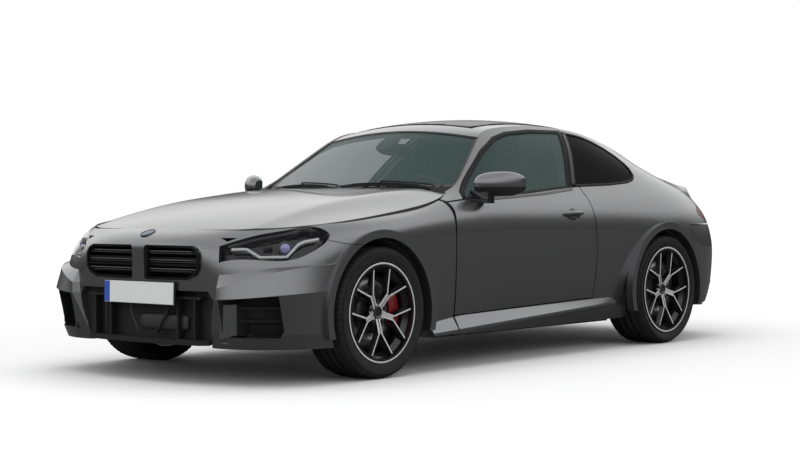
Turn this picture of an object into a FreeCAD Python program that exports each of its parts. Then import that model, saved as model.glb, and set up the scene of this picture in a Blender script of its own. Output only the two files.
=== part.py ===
import FreeCAD, Part
import math
import os
from types import SimpleNamespace

Vector = FreeCAD.Vector

# Driving sizes in millimetres. Front of the car looks along -Y, its left side along +X.
driving_sizes = (
    ("overall_length", 4552), ("overall_width", 1887), ("overall_height", 1403),
    ("wheelbase", 2747), ("front_overhang", 830), ("front_track", 1617), ("rear_track", 1605),
    ("front_tyre_radius", 337), ("rear_tyre_radius", 339), ("front_tyre_width", 262),
    ("rear_tyre_width", 272), ("front_rim_radius", 243), ("rear_rim_radius", 255),
    ("rim_wall", 9), ("rim_lip_height", 13), ("hub_radius", 60), ("hub_depth", 46),
    ("spoke_width", 30), ("spoke_depth", 26), ("spoke_sink", 40), ("face_inset", 9),
    ("edge_width", 8), ("edge_lift", 5),
    ("tyre_shoulder", 26), ("arch_radius", 381), ("arch_band_width", 42), ("arch_band_depth", 46),
    ("arch_band_reach", 941), ("wheelhouse_inner", 488), ("rear_house_inner", 650),
    ("panel_depth", 140), ("door_depth", 115), ("skin_depth", 60), ("sheet_depth", 15), ("glass_depth", 5),
    ("glass_sink", 3), ("roof_depth", 34), ("shut_gap", 7), ("column_gap", 0.6), ("seat_gap", 0.3),
    ("glass_gap", 13), ("overrun", 400), ("flat_side", 800),
    ("hinge_inset", 34), ("hinge_lead", 100), ("hinge_clear", 5), ("hinge_pad", 40),
    ("kingpin_offset", 800), ("arm_height", 190), ("arm_width", 36), ("arm_depth", 30),
    ("post_size", 50), ("axle_radius", 34), ("caliper_inner", 118), ("caliper_outer", 196),
    ("caliper_width", 70),
    ("floor_height", 165), ("floor_depth", 60), ("tunnel_width", 240), ("tunnel_height", 200),
    ("rail_place", 430), ("rail_width", 90), ("rail_height", 300), ("rail_depth", 110),
    ("upper_rail_height", 730), ("upper_rail_depth", 34), ("firewall_depth", 30),
    ("firewall_height", 800), ("boot_floor_height", 420), ("shelf_depth", 24),
    ("engine_length", 700), ("engine_width", 560), ("engine_height", 480), ("engine_floor", 300),
    ("dash_width", 1220), ("wheel_rim_radius", 182), ("wheel_grip_radius", 15),
    ("wheel_spoke_radius", 12), ("column_radius", 26), ("column_length", 260),
    ("seat_width", 500), ("seat_place", 370), ("bench_width", 1120), ("splitter_depth", 26),
    ("slat_depth", 12), ("mirror_length", 192), ("mirror_height", 136), ("mirror_depth", 200),
    ("mirror_stalk", 60), ("tip_radius", 48), ("latch_width", 60), ("latch_depth", 30),
    ("latch_reach", 40), ("carrier_depth", 40), ("stop_radius", 12), ("boot_latch_height", 752),
)

doc = FreeCAD.newDocument("coupe_car")
sheet = doc.addObject("Spreadsheet::Sheet", "sizes")
for row, (alias, size) in enumerate(driving_sizes, 1):
    cell = "A%d" % row
    sheet.set(cell, str(size))
    sheet.setAlias(cell, alias)
doc.recompute()
mm = SimpleNamespace(**{alias: float(sheet.get(alias)) for alias, size in driving_sizes})

half_width = mm.overall_width / 2
half_length = mm.overall_length / 2
front_axle = mm.front_overhang - half_length
rear_axle = front_axle + mm.wheelbase
rear_overhang = half_length - rear_axle
pieces = []


def along(share):
    """Place along the car: -1 nose, 0 front axle, 1 rear axle, 2 tail."""
    if share < 0:
        return front_axle + share * mm.front_overhang
    if share <= 1:
        return front_axle + share * mm.wheelbase
    return rear_axle + (share - 1) * rear_overhang


def across(share):
    return share * half_width


def up(share):
    return share * mm.overall_height


def place(x_share, y_share, z_share):
    return Vector(across(x_share), along(y_share), up(z_share))


def shaped(name, shape):
    """Object that holds a shape worked out from the sheet."""
    feature = doc.addObject("Part::Feature", name)
    feature.Shape = shape
    return feature


def kept(label, feature):
    """Object that is a piece of the car, under its own label."""
    feature.Label = label
    pieces.append(feature)
    return feature


def piece(label, shape):
    return kept(label, shaped(label, shape))


def mirrored(shape):
    return shape.mirror(Vector(0, 0, 0), Vector(1, 0, 0))


def kept_pair(label, left):
    """Left piece and its mirror image, which follows it."""
    right = doc.addObject("Part::Mirroring", label + "_right")
    right.Source = kept(label + "_left", left)
    right.Normal = Vector(1, 0, 0)
    kept(label + "_right", right)


def pair(label, left):
    kept_pair(label, shaped(label + "_left", left))


def both(left):
    return left.fuse(mirrored(left))


def knots(count, degree):
    spans = count - degree
    return [i / spans for i in range(spans + 1)], [degree + 1] + [1] * (spans - 1) + [degree + 1]


def net_surface(net):
    """Smooth surface drawn towards a net of poles."""
    u_degree = min(3, len(net) - 1)
    v_degree = min(3, len(net[0]) - 1)
    u_knots, u_mults = knots(len(net), u_degree)
    v_knots, v_mults = knots(len(net[0]), v_degree)
    surface = Part.BSplineSurface()
    surface.buildFromPolesMultsKnots(
        net, u_mults, v_mults, u_knots, v_knots, False, False, u_degree, v_degree)
    return surface


def thick(outer_net, inner_net):
    """Solid between two surfaces that have the same count of poles."""
    outer = net_surface(outer_net)
    inner = net_surface(inner_net)
    faces = [outer.toShape(), inner.toShape()]
    for end in (0, 1):
        faces.append(Part.makeRuledSurface(outer.uIso(end).toShape(), inner.uIso(end).toShape()))
        faces.append(Part.makeRuledSurface(outer.vIso(end).toShape(), inner.vIso(end).toShape()))
    shell = Part.makeShell(faces)
    shell.sewShape()
    solid = Part.makeSolid(shell)
    if solid.Volume < 0:
        solid.reverse()
    return solid


# Left wall of the body, from the nose round to the tail. Every station runs from the sill up to
# the hood line, the roof rail or the deck, as widths, places along and heights.
nose_shares = (
    ([0] * 12,
     [-.915, -.955, -.978, -.985, -.985, -.985, -.990, -.985, -.945, -.895, -.845, -.795],
     [.150, .190, .245, .300, .360, .420, .470, .500, .520, .534, .544, .552]),
    ([.14] * 12,
     [-.915, -.955, -.978, -.985, -.985, -.985, -.990, -.985, -.945, -.895, -.845, -.795],
     [.150, .190, .245, .300, .360, .420, .470, .500, .520, .534, .544, .552]),
    ([.36] * 12,
     [-.900, -.940, -.960, -.965, -.965, -.968, -.974, -.968, -.930, -.880, -.830, -.782],
     [.150, .190, .245, .300, .360, .415, .463, .494, .514, .528, .539, .547]),
    ([.58, .58, .58, .58, .58, .58, .58, .575, .57, .565, .56, .555],
     [-.865, -.905, -.925, -.930, -.930, -.925, -.912, -.885, -.850, -.815, -.780, -.750],
     [.150, .190, .245, .300, .358, .405, .442, .473, .500, .521, .537, .548]),
    ([.725, .74, .745, .745, .745, .745, .745, .742, .735, .715, .695, .675],
     [-.800, -.838, -.854, -.858, -.854, -.844, -.820, -.788, -.758, -.732, -.704, -.678],
     [.150, .190, .245, .300, .360, .408, .443, .473, .498, .518, .535, .548]),
    ([.84, .872, .88, .88, .88, .876, .868, .853, .834, .815, .795, .772],
     [-.690, -.712, -.720, -.720, -.716, -.706, -.690, -.670, -.650, -.630, -.608, -.585],
     [.150, .190, .245, .305, .368, .418, .456, .486, .509, .528, .543, .554]),
    ([.90, .925, .935, .938, .938, .932, .92, .905, .89, .872, .852, .830],
     [-.59, -.605, -.612, -.612, -.606, -.592, -.572, -.553, -.535, -.515, -.497, -.480],
     [.150, .190, .248, .312, .378, .430, .470, .502, .524, .540, .552, .560]),
)
side_shares = (
    (-.41, [.940, .955, .965, .970, .972, .970, .960, .945, .928, .910, .890, .868],
     [.145, .195, .260, .330, .400, .455, .492, .520, .540, .554, .564, .571]),
    (-.20, [.955, .968, .978, .984, .987, .987, .982, .970, .953, .932, .910, .885],
     [.142, .198, .275, .355, .430, .486, .520, .540, .555, .566, .574, .580]),
    (0.0, [.960, .975, .985, .990, .993, .994, .990, .978, .960, .938, .914, .889],
     [.140, .200, .288, .378, .450, .502, .534, .552, .564, .574, .582, .589]),
    (.075, [.952, .966, .978, .984, .987, .987, .983, .970, .952, .930, .905, .880],
     [.138, .196, .290, .385, .465, .519, .550, .567, .579, .588, .595, .601]),
    (.14, [.940, .952, .964, .970, .973, .973, .967, .953, .934, .912, .888, .862],
     [.135, .190, .290, .390, .478, .536, .567, .584, .596, .604, .611, .617]),
    (.22, [.915, .930, .946, .954, .957, .957, .947, .926, .900, .872, .843, .815],
     [.130, .185, .290, .395, .490, .555, .590, .612, .627, .638, .646, .653]),
    (.30, [.900, .918, .938, .947, .952, .951, .940, .913, .882, .850, .818, .788],
     [.127, .182, .290, .397, .495, .565, .607, .636, .656, .671, .684, .694]),
    (.35, [.892, .914, .935, .946, .951, .950, .938, .906, .866, .825, .782, .740],
     [.126, .182, .290, .398, .497, .568, .614, .650, .684, .712, .735, .757]),
    (.41, [.885, .910, .933, .945, .950, .950, .936, .898, .842, .784, .726, .670],
     [.125, .182, .290, .399, .498, .570, .619, .659, .718, .770, .811, .845]),
    (.48, [.880, .908, .932, .944, .950, .949, .932, .891, .820, .743, .665, .600],
     [.125, .184, .290, .400, .499, .572, .623, .667, .750, .832, .892, .932]),
    (.58, [.870, .906, .931, .944, .950, .949, .929, .884, .808, .728, .652, .592],
     [.125, .185, .290, .400, .500, .573, .627, .673, .765, .856, .920, .957]),
    (.70, [.862, .905, .930, .943, .950, .948, .925, .873, .799, .719, .645, .588],
     [.125, .185, .290, .400, .500, .575, .632, .682, .772, .861, .922, .960]),
    (.82, [.866, .910, .936, .951, .960, .957, .929, .864, .788, .709, .636, .582],
     [.125, .185, .290, .400, .500, .579, .640, .694, .776, .855, .912, .948]),
    (.92, [.890, .930, .955, .972, .981, .974, .933, .857, .779, .700, .628, .576],
     [.128, .188, .290, .400, .500, .584, .650, .706, .772, .834, .881, .911]),
    (1.0, [.915, .955, .975, .990, .997, .986, .935, .850, .770, .692, .620, .568],
     [.135, .195, .290, .400, .500, .588, .657, .713, .764, .809, .846, .872]),
    (1.2, [.930, .962, .980, .992, .995, .981, .925, .842, .766, .692, .624, .572],
     [.145, .200, .290, .400, .500, .588, .656, .708, .744, .774, .798, .816]),
    (1.4, [.925, .955, .970, .980, .980, .962, .905, .832, .768, .706, .648, .600],
     [.155, .210, .293, .392, .485, .575, .642, .690, .713, .731, .746, .758]),
)
tail_shares = (
    ([.905, .938, .950, .957, .957, .930, .875, .815, .768, .725, .685, .650],
     [1.58] * 12,
     [.160, .218, .293, .377, .462, .555, .612, .652, .677, .696, .711, .722]),
    ([.86, .888, .898, .904, .904, .872, .828, .782, .748, .718, .690, .662],
     [1.70, 1.71, 1.715, 1.72, 1.72, 1.71, 1.705, 1.70, 1.695, 1.69, 1.69, 1.69],
     [.165, .222, .295, .372, .450, .538, .582, .620, .649, .672, .690, .703]),
    ([.79, .818, .828, .834, .834, .795, .768, .735, .712, .692, .675, .655],
     [1.78, 1.80, 1.81, 1.815, 1.815, 1.79, 1.785, 1.78, 1.775, 1.775, 1.78, 1.785],
     [.168, .226, .297, .370, .446, .526, .566, .602, .632, .658, .679, .694]),
    ([.68, .705, .715, .72, .72, .68, .665, .645, .63, .62, .61, .60],
     [1.86, 1.885, 1.90, 1.905, 1.905, 1.865, 1.86, 1.855, 1.85, 1.852, 1.86, 1.868],
     [.170, .228, .298, .370, .446, .520, .556, .590, .620, .648, .671, .687]),
    ([.50, .52, .53, .53, .53, .50, .49, .48, .475, .47, .465, .46],
     [1.91, 1.945, 1.965, 1.97, 1.97, 1.92, 1.915, 1.908, 1.905, 1.908, 1.918, 1.925],
     [.170, .228, .298, .370, .446, .515, .550, .583, .613, .642, .667, .686]),
    ([.28] * 12,
     [1.935, 1.97, 1.99, 1.997, 1.997, 1.95, 1.942, 1.935, 1.932, 1.935, 1.945, 1.95],
     [.170, .228, .298, .370, .446, .513, .548, .581, .612, .642, .669, .690]),
    ([.12] * 12,
     [1.94, 1.975, 1.997, 2.003, 2.003, 1.957, 1.95, 1.942, 1.938, 1.941, 1.951, 1.956],
     [.170, .228, .298, .370, .446, .513, .548, .581, .612, .643, .670, .692]),
    ([0] * 12,
     [1.94, 1.975, 1.997, 2.003, 2.003, 1.957, 1.95, 1.942, 1.938, 1.941, 1.951, 1.956],
     [.170, .228, .298, .370, .446, .513, .548, .581, .612, .643, .670, .692]),
)
edge_reach_share = .6


def shrunk(point, inset):
    """The same place on a body that is smaller by the inset on every side."""
    return Vector(
        point.x * (1 - inset / half_width),
        point.y * (1 - inset / half_length),
        point.z * (1 - inset / mm.overall_height))


def wall_net(inset):
    stations = list(nose_shares)
    stations += [(xs, [y] * len(xs), zs) for y, xs, zs in side_shares]
    stations += list(tail_shares)
    net = []
    for station in stations:
        line = [place(x, y, z) for x, y, z in zip(*station)]
        line.append(line[-1] + (line[-1] - line[-2]) * edge_reach_share)
        net.append([shrunk(point, inset) for point in line])
    return net


def wall(outer_inset, inner_inset):
    return thick(wall_net(outer_inset), wall_net(inner_inset))


# Hood skin: rows from the nose to the windscreen, each with heights from the centre outwards.
hood_column_shares = (0, .25, .47, .60, .645, .72, .82, .93)
hood_row_shares = (
    (-.93, [.518, .517, .508, .501, .497, .486, .478, .470]),
    (-.795, [.552, .550, .543, .536, .533, .522, .515, .510]),
    (-.60, [.588, .586, .578, .573, .571, .559, .550, .540]),
    (-.306, [.627, .625, .618, .613, .611, .595, .581, .568]),
    (0.0, [.658, .656, .651, .647, .645, .624, .603, .586]),
    (.105, [.680, .678, .674, .670, .667, .648, .623, .604]),
    (.197, [.699, .698, .694, .690, .687, .670, .646, .629]),
    (.27, [.703, .702, .700, .697, .694, .684, .668, .655]),
)
deck_column_shares = (0, .28, .50, .68)
deck_row_shares = (
    (1.30, [.797, .795, .788, .773]),
    (1.42, [.762, .761, .758, .750]),
    (1.60, [.728, .727, .722, .711]),
    (1.78, [.705, .704, .698, .689]),
    (1.90, [.693, .692, .687, .679]),
    (1.965, [.694, .692, .685, .676]),
)
# Windscreen, roof and rear window: centre and edge places along, heights and the edge width.
roof_column_shares = (0, .35, .70, 1.0, 1.06)
roof_row_shares = (
    (.205, .275, .650, .650, .80), (.222, .298, .672, .684, .79), (.30, .365, .765, .771, .727),
    (.38, .43, .866, .866, .652), (.445, .475, .950, .927, .605), (.52, .53, .983, .948, .594),
    (.65, .65, 1.003, .962, .589), (.78, .78, .997, .957, .584), (.87, .86, .979, .937, .580),
    (.94, .92, .944, .911, .576), (1.03, 1.0, .894, .872, .568), (1.20, 1.17, .832, .820, .571),
    (1.37, 1.31, .779, .780, .588),
)


def crown_net(rows, columns, drop):
    net = []
    for y, heights in rows:
        half = [Vector(across(x), along(y), up(z) - drop) for x, z in zip(columns, heights)]
        net.append([Vector(-p.x, p.y, p.z) for p in reversed(half[1:])] + half)
    return net


def roof_net(drop):
    net = []
    for y_centre, y_edge, z_centre, z_edge, x_edge in roof_row_shares:
        half = []
        for share in roof_column_shares:
            bend = share ** 2
            y = along(y_centre) + (along(y_edge) - along(y_centre)) * bend
            z = up(z_centre + (z_edge - z_centre) * bend)
            half.append(Vector(across(share * x_edge), y, z - drop))
        net.append([Vector(-p.x, p.y, p.z) for p in reversed(half[1:])] + half)
    return net


def widened(points, grow):
    """Closed flat outline with every side moved outwards by the same distance."""
    if not grow:
        return points
    count = len(points)
    spin = Vector(0, 0, 0)
    for index in range(count):
        spin += (points[index - 1] - points[0]).cross(points[index] - points[0])
    spin.normalize()
    moved = []
    for index, point in enumerate(points):
        before = (point - points[index - 1]).normalize().cross(spin)
        after = (points[(index + 1) % count] - point).normalize().cross(spin)
        moved.append(point + (before + after) * (grow / (1 + before.dot(after))))
    return moved


def outline(points, rounded):
    if not rounded:
        return Part.makePolygon(points + [points[0]])
    curve = Part.BSplineCurve()
    curve.interpolate(Points=points, PeriodicFlag=True)
    return Part.Wire(curve.toShape())


def side_region(shares, grow=0, rounded=False, start=None, end=None):
    """Left side region from an outline of places along and heights."""
    start = 0 if start is None else start
    end = half_width + mm.overrun if end is None else end
    points = [Vector(start, along(y), up(z)) for y, z in shares]
    return Part.Face(outline(widened(points, grow), rounded)).extrude(Vector(end - start, 0, 0))


def front_region(shares, grow=0, rounded=False, start=-1, depth=None):
    """Region from an outline of widths and heights, running back from a place along."""
    depth = mm.overrun if depth is None else depth
    points = [Vector(across(x), along(start), up(z)) for x, z in shares]
    face = Part.Face(outline(widened(points, grow), rounded))
    face.translate(Vector(0, -mm.overrun / 2, 0))
    return face.extrude(Vector(0, depth + mm.overrun / 2, 0))


def plan_region(shares, grow=0, bottom=0, top=None):
    top = mm.overall_height + mm.overrun if top is None else top
    points = [Vector(across(x), along(y), bottom) for x, y in shares]
    return Part.Face(outline(widened(points, grow), False)).extrude(Vector(0, 0, top - bottom))


def smooth(points):
    curve = Part.BSplineCurve()
    curve.interpolate(points)
    return curve.toShape()


def plan_ring(front_shares, rear_shares, grow=0):
    """Plan region with one smooth curve round its front and sides and one across its rear."""
    half = [Vector(across(x), along(y), 0) for x, y in front_shares + rear_shares[1:]]
    count = len(front_shares)
    ring = widened(half + [Vector(-p.x, p.y, 0) for p in reversed(half[1:-1])], grow)
    left = ring[:len(half)]
    front = [Vector(-p.x, p.y, 0) for p in reversed(left[1:count])] + left[:count]
    rear = left[count - 1:] + [Vector(-p.x, p.y, 0) for p in reversed(left[count - 1:-1])]
    wire = Part.Wire([smooth(front), smooth(rear)])
    return Part.Face(wire).extrude(Vector(0, 0, mm.overall_height + mm.overrun))


def view_region(shares, angle_share, grow=0):
    """Region along a level line turned from the front, through places: one edge, then a curve."""
    turn = angle_share * math.pi / 2
    line = Vector(math.sin(turn), -math.cos(turn), 0)
    flat = []
    for x, y, z in shares:
        point = place(x, y, z)
        flat.append(point - line * (point.dot(line) - half_length))
    ring = widened(flat, grow)
    wire = Part.Wire([Part.makeLine(ring[0], ring[1]), smooth(ring[1:] + ring[:1])])
    return Part.Face(wire).extrude(line * -half_length)


def block(x0, x1, y0, y1, z0, z1):
    return Part.makeBox(x1 - x0, y1 - y0, z1 - z0, Vector(x0, y0, z0))


far = half_length + mm.overrun
seat = mm.seat_gap
gap = mm.shut_gap

# Wheel arches, with the flat band round each opening.
wheel_places = (
    ("front", front_axle, mm.front_track / 2, mm.front_tyre_radius, mm.front_tyre_width,
     mm.front_rim_radius, mm.wheelhouse_inner),
    ("rear", rear_axle, mm.rear_track / 2, mm.rear_tyre_radius, mm.rear_tyre_width,
     mm.rear_rim_radius, mm.rear_house_inner),
)
arch_cuts = []
arch_bands = []
for end, y, x, radius, width, rim, inner in wheel_places:
    centre = Vector(inner, y, radius)
    reach = half_width + mm.overrun
    arch_cuts.append(Part.makeCylinder(mm.arch_radius, reach - inner, centre, Vector(1, 0, 0)))
    start = mm.arch_band_reach - mm.arch_band_depth
    band = Part.makeCylinder(
        mm.arch_radius + mm.arch_band_width, mm.arch_band_depth,
        Vector(start, y, radius), Vector(1, 0, 0))
    arch_bands.append(band.common(block(0, half_width, -far, far, up(.16), up(1))))

body = wall(0, mm.panel_depth)
skin = wall(0, mm.skin_depth)
glazing = wall(mm.glass_sink, mm.glass_sink + mm.glass_depth)
body = body.fuse(arch_bands).cut(arch_cuts)

# Hood opening in plan.
hood_front_shares = (
    (0, -.835), (.161, -.822), (.319, -.800), (.480, -.768), (.589, -.733), (.677, -.676),
    (.776, -.580), (.845, -.473), (.874, -.400), (.900, -.28), (.908, -.061), (.888, .088),
    (.868, .177), (.800, .262))
hood_rear_shares = ((.800, .262), (.62, .245), (.35, .218), (0, .205))
hood_space = plan_ring(hood_front_shares, hood_rear_shares, 0)
hood_opening = plan_ring(hood_front_shares, hood_rear_shares, gap)
hood = thick(crown_net(hood_row_shares, hood_column_shares, 0),
             crown_net(hood_row_shares, hood_column_shares, mm.sheet_depth))
hood = hood.common(hood_space)

# Latch hook and rubber stops below the hood, over the lock carrier behind the grilles.
carrier_y = along(-.75)
carrier_top = up(.545) - mm.latch_reach
stop_place = mm.rail_place - mm.rail_width / 2
stop_reach = mm.latch_reach - seat
hooks = [block(-mm.latch_width / 2, mm.latch_width / 2, carrier_y - mm.latch_depth / 2,
               carrier_y + mm.latch_depth / 2, carrier_top + seat, up(.551))]
for side in (-1, 1):
    foot = Vector(side * stop_place, carrier_y, carrier_top + seat)
    hooks.append(Part.makeCylinder(mm.stop_radius, stop_reach, foot))
hood = hood.fuse(hooks)

# Roof, windscreen and rear window share one crown, parted across the car.
roof_edge_share = .99
roof_plan_shares = [(x * roof_edge_share, ye) for yc, ye, zc, ze, x in roof_row_shares]
roof_plan_shares = [(.80, .19)] + roof_plan_shares + [(.592, 1.42)]


def roof_plan(grow):
    left = [Vector(across(x), along(y), 0) for x, y in roof_plan_shares]
    ring = widened(left + [Vector(-p.x, p.y, 0) for p in reversed(left)], grow)
    left = ring[:len(left)]
    right = ring[len(left):]
    ends = [Part.makeLine(left[-1], right[0]), Part.makeLine(right[-1], left[0])]
    wire = Part.Wire([smooth(left), ends[0], smooth(right), ends[1]])
    return Part.Face(wire).extrude(Vector(0, 0, far))


crown = roof_plan(0)
crown_opening = roof_plan(seat)
screen_base_shares = (.2075, .285)
screen_top_shares = (.447, .478)
back_top_shares = (.905, .885)
back_base_shares = (1.345, 1.30)


def bow(shares, shift=0):
    """Edge across the crown, bowed from its centre to its sides."""
    centre, edge = shares
    run = []
    for share in (-1, -.7, -.35, 0, .35, .7, 1):
        y = along(centre) + (along(edge) - along(centre)) * share ** 2
        run.append(Vector(across(share), y + shift, 0))
    return smooth(run)


def between(front_bow, rear_bow):
    ends = []
    for index in (0, 1):
        ends.append(Part.makeLine(front_bow.Vertexes[index].Point, rear_bow.Vertexes[index].Point))
    wire = Part.Wire([front_bow, ends[1], rear_bow, ends[0]])
    return Part.Face(wire).extrude(Vector(0, 0, far))


pane = thick(roof_net(mm.glass_sink), roof_net(mm.glass_sink + mm.glass_depth)).common(crown)
plate = thick(roof_net(0), roof_net(mm.roof_depth)).common(crown)
windscreen = pane.common(between(bow(screen_base_shares), bow(screen_top_shares, -seat)))
rear_window = pane.common(between(bow(back_top_shares, seat), bow(back_base_shares)))
roof = plate.common(between(bow(screen_top_shares), bow(back_top_shares)))

# Doors: outline from the side, with a hinge pin behind the skin ahead of the leading edge.
door_shares = (
    (.231, .205), (.727, .229), (.730, .412), (.722, .552), (.712, .660), (.703, .700),
    (.664, .6955), (.506, .672), (.290, .6475), (.225, .635), (.231, .520))
hinge_x = across(.947) - mm.hinge_inset
hinge_y = along(.2335) - mm.hinge_lead
hinge_reach = math.hypot(mm.hinge_inset, mm.hinge_lead)
window_shares = (
    (.288, .6475), (.297, .672), (.367, .762), (.434, .845), (.493, .899), (.543, .922),
    (.634, .937), (.752, .939), (.7055, .816), (.664, .6955), (.506, .672))
quarter_shares = (
    (.7725, .936), (.810, .930), (.845, .920), (.880, .903), (.915, .878), (.945, .844),
    (.962, .810), (.966, .782), (.958, .752), (.938, .731), (.905, .719), (.830, .7095),
    (.688, .7015))
pin_space = Part.makeCylinder(hinge_reach + mm.hinge_clear, mm.overall_height,
                              Vector(hinge_x, hinge_y, 0))
pin_post = Part.makeCylinder(hinge_reach, mm.overall_height, Vector(hinge_x, hinge_y, 0))
door_ahead = block(0, half_width + mm.overrun, hinge_y, along(.5), 0, mm.overall_height)
door_hole = side_region(door_shares, gap)
door_body = side_region(door_shares)
front_cut = block(0, half_width + mm.overrun, -far, hinge_y, 0, mm.overall_height)
door = wall(0, mm.door_depth).common(door_body)
door = door.cut([pin_space, front_cut])
window_hole = side_region(window_shares, mm.glass_gap)
window_pane = side_region(window_shares, -seat)
door_glass = glazing.common(window_pane).cut(pin_space)
windscreen = windscreen.cut([door_hole, mirrored(door_hole)])
quarter_hole = side_region(quarter_shares)
quarter_pane = side_region(quarter_shares, -seat)
quarter_glass = glazing.common(quarter_pane)

skirt_section_shares = (
    (.150, ((.90, .200), (.925, .199), (.985, .146), (.985, .134), (.90, .128))),
    (.800, ((.88, .224), (.918, .223), (.958, .206), (.958, .196), (.88, .180))),
)

def skirt_blade():
    """Ledge below the door, from behind the front wheel to before the rear one."""
    wires = []
    for y_share, section in skirt_section_shares:
        points = [place(x, y_share, z) for x, z in section]
        wires.append(Part.makePolygon(points + [points[0]]))
    return Part.makeLoft(wires, True, True)


# Openings of the nose, as widths and heights.
kidney_shares = (
    (.048, .372), (.048, .482), (.058, .490), (.395, .489), (.430, .478), (.450, .458),
    (.450, .408), (.425, .385), (.365, .368), (.060, .366))
lower_mouth_shares = (
    (-.47, .10), (.47, .10), (.505, .215), (.535, .295), (.50, .330), (-.50, .330), (-.535, .295),
    (-.505, .215))
side_mouth_shares = ((.592, .172), (.868, .172), (.886, .195), (.890, .318), (.592, .302))
lamp_shares = (
    (.566, -.925, .431), (.548, -.900, .488), (.617, -.780, .513),
    (.677, -.690, .529), (.776, -.588, .544), (.858, -.473, .555), (.893, -.444, .549),
    (.935, -.416, .523), (.939, -.444, .505), (.928, -.534, .474), (.904, -.644, .448),
    (.785, -.811, .440))
camera_angle_share = .447
lamp_hole = view_region(lamp_shares, camera_angle_share, seat)
lamp_space = view_region(lamp_shares, camera_angle_share)
kidney_hole = front_region(kidney_shares)
mouth_hole = front_region(lower_mouth_shares)
side_hole = front_region(side_mouth_shares)

# Front bumper, split from the fenders at the lamp's tail and the arch.
bumper_side_shares = (
    (-1.2, 0), (-.20, 0), (-.20, .488), (-.317, .493), (-.432, .506), (-.52, .56), (-1.2, .70))
bumper_space = side_region(bumper_side_shares)
fender_side_shares = (
    (-.30, .10), (.222, .10), (.232, .205), (.231, .520), (.225, .640), (.10, .80), (-.70, .80),
    (-.70, .60), (-.52, .5625), (-.432, .5085), (-.317, .4955), (-.20, .4905), (-.20, .10))
fender_space = side_region(fender_side_shares)
core_shares = ((-.56, -.845), (.56, -.845), (.848, -.50), (.848, 2.5), (-.848, 2.5), (-.848, -.50))
nose_core = plan_region(core_shares)
flat_core = block(-mm.flat_side, mm.flat_side, -far, far, 0, far)


# Boxy corner round each side intake: rings of places, from the sill up to the crease and in.
corner_ring_shares = (
    ((.49, -.895, .130), (.725, -.850, .130), (.872, -.712, .130), (.948, -.53, .130),
     (.966, -.40, .130)),
    ((.50, -.915, .183), (.735, -.880, .183), (.890, -.738, .183), (.962, -.53, .183),
     (.977, -.40, .183)),
    ((.575, -.966, .304), (.748, -.918, .311), (.906, -.775, .322), (.970, -.545, .33),
     (.985, -.40, .34)),
    ((.580, -.960, .343), (.738, -.890, .376), (.884, -.750, .405), (.960, -.53, .420),
     (.984, -.40, .425)),
    ((.555, -.885, .432), (.690, -.800, .432), (.825, -.655, .432), (.905, -.48, .432),
     (.940, -.38, .432)),
)
corner_depth_share = .16
corner_wires = []
for ring_shares in corner_ring_shares:
    front = [place(x, y, z) for x, y, z in ring_shares]
    back = Vector(-across(corner_depth_share), corner_depth_share * mm.front_overhang, 0)
    ends = [front[-1], front[-1] + back, front[0] + back, front[0]]
    lines = [Part.makeLine(ends[index], ends[index + 1]) for index in range(3)]
    corner_wires.append(Part.Wire([smooth(front)] + lines))
corner = Part.makeLoft(corner_wires, True, True)
bumper = body.fuse(corner).common(bumper_space)
nose_hollow = plan_region(core_shares, 0, 0, carrier_top + seat)
bumper = bumper.cut(arch_cuts + [nose_hollow, hood_opening, lamp_hole])
bumper = bumper.cut([kidney_hole, mouth_hole, side_hole])
front_bumper = both(bumper)
headlamp = body.common(lamp_space).cut([nose_core, hood_opening])
fender = body.common(fender_space).cut([flat_core, hood_opening, lamp_hole])
fender = fender.fuse(skirt_blade().common(fender_space))
fender = fender.cut(door_ahead.common(fender_space).cut(pin_post))

# Hinges: round posts on the fender's inside, about the hinge line, and pads of the door on them.
post_start = hinge_y + hinge_reach
for low_share, high_share in ((.285, .315), (.455, .485)):
    low, high = up(low_share), up(high_share)
    band = block(mm.flat_side, hinge_x + mm.hinge_pad / 2, hinge_y, post_start, low, high)
    fender = fender.fuse(pin_post.common(band))
    door = door.fuse(block(
        hinge_x - mm.hinge_pad / 2, hinge_x + mm.hinge_pad / 2, post_start + seat,
        post_start + 3 * mm.hinge_clear, low, high))

# Side frame: windscreen pillar, roof rail, door ring, sill and rear quarter.
frame_side_shares = (
    (.2275, .642), (.2275, 1.2), (2.2, 1.2), (2.2, .532), (1.30, .532), (1.30, .05), (.2235, .05),
    (.2345, .206))
frame_side = side_region(frame_side_shares)
inner_layer = wall(mm.skin_depth, mm.panel_depth + mm.skin_depth)
cabin_space = inner_layer.common(block(0, far, -far, far, up(.64), far))
lower_core = block(0, mm.flat_side, -far, far, 0, up(.60))
lamp_side_shares = (
    (1.46, .590), (1.52, .6175), (2.2, .6175), (2.2, .540), (1.62, .545), (1.47, .572))
lamp_start_share = .463
lamp_side = side_region(lamp_side_shares, 0, False, across(lamp_start_share))
lamp_side_hole = side_region(lamp_side_shares, seat, False, across(lamp_start_share) - seat)
lid_face_shares = (
    (-.455, .532), (.455, .532), (.455, .626), (.60, .626), (.60, 1), (-.60, 1), (-.60, .626),
    (-.455, .626))
rear_start_share = 1.2
rear_reach = 2 * mm.wheelbase
lid_front_shares = (1.352, 1.31)
lid_rear_shares = (2.1, 2.1)
lid_reach = between(bow(lid_front_shares), bow(lid_rear_shares))
lid_space = front_region(lid_face_shares, 0, False, rear_start_share, rear_reach)
lid_space = lid_space.common(lid_reach)
lid_opening = front_region(lid_face_shares, gap, False, rear_start_share, rear_reach)
lid_opening = lid_opening.common(between(bow(lid_front_shares, -gap), bow(lid_rear_shares)))
deck = thick(crown_net(deck_row_shares, deck_column_shares, 0),
             crown_net(deck_row_shares, deck_column_shares, mm.roof_depth))
lid_lip_shares = (1.962, 1.70)
deck = deck.common(between(bow(lid_front_shares), bow(lid_lip_shares)))
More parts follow.
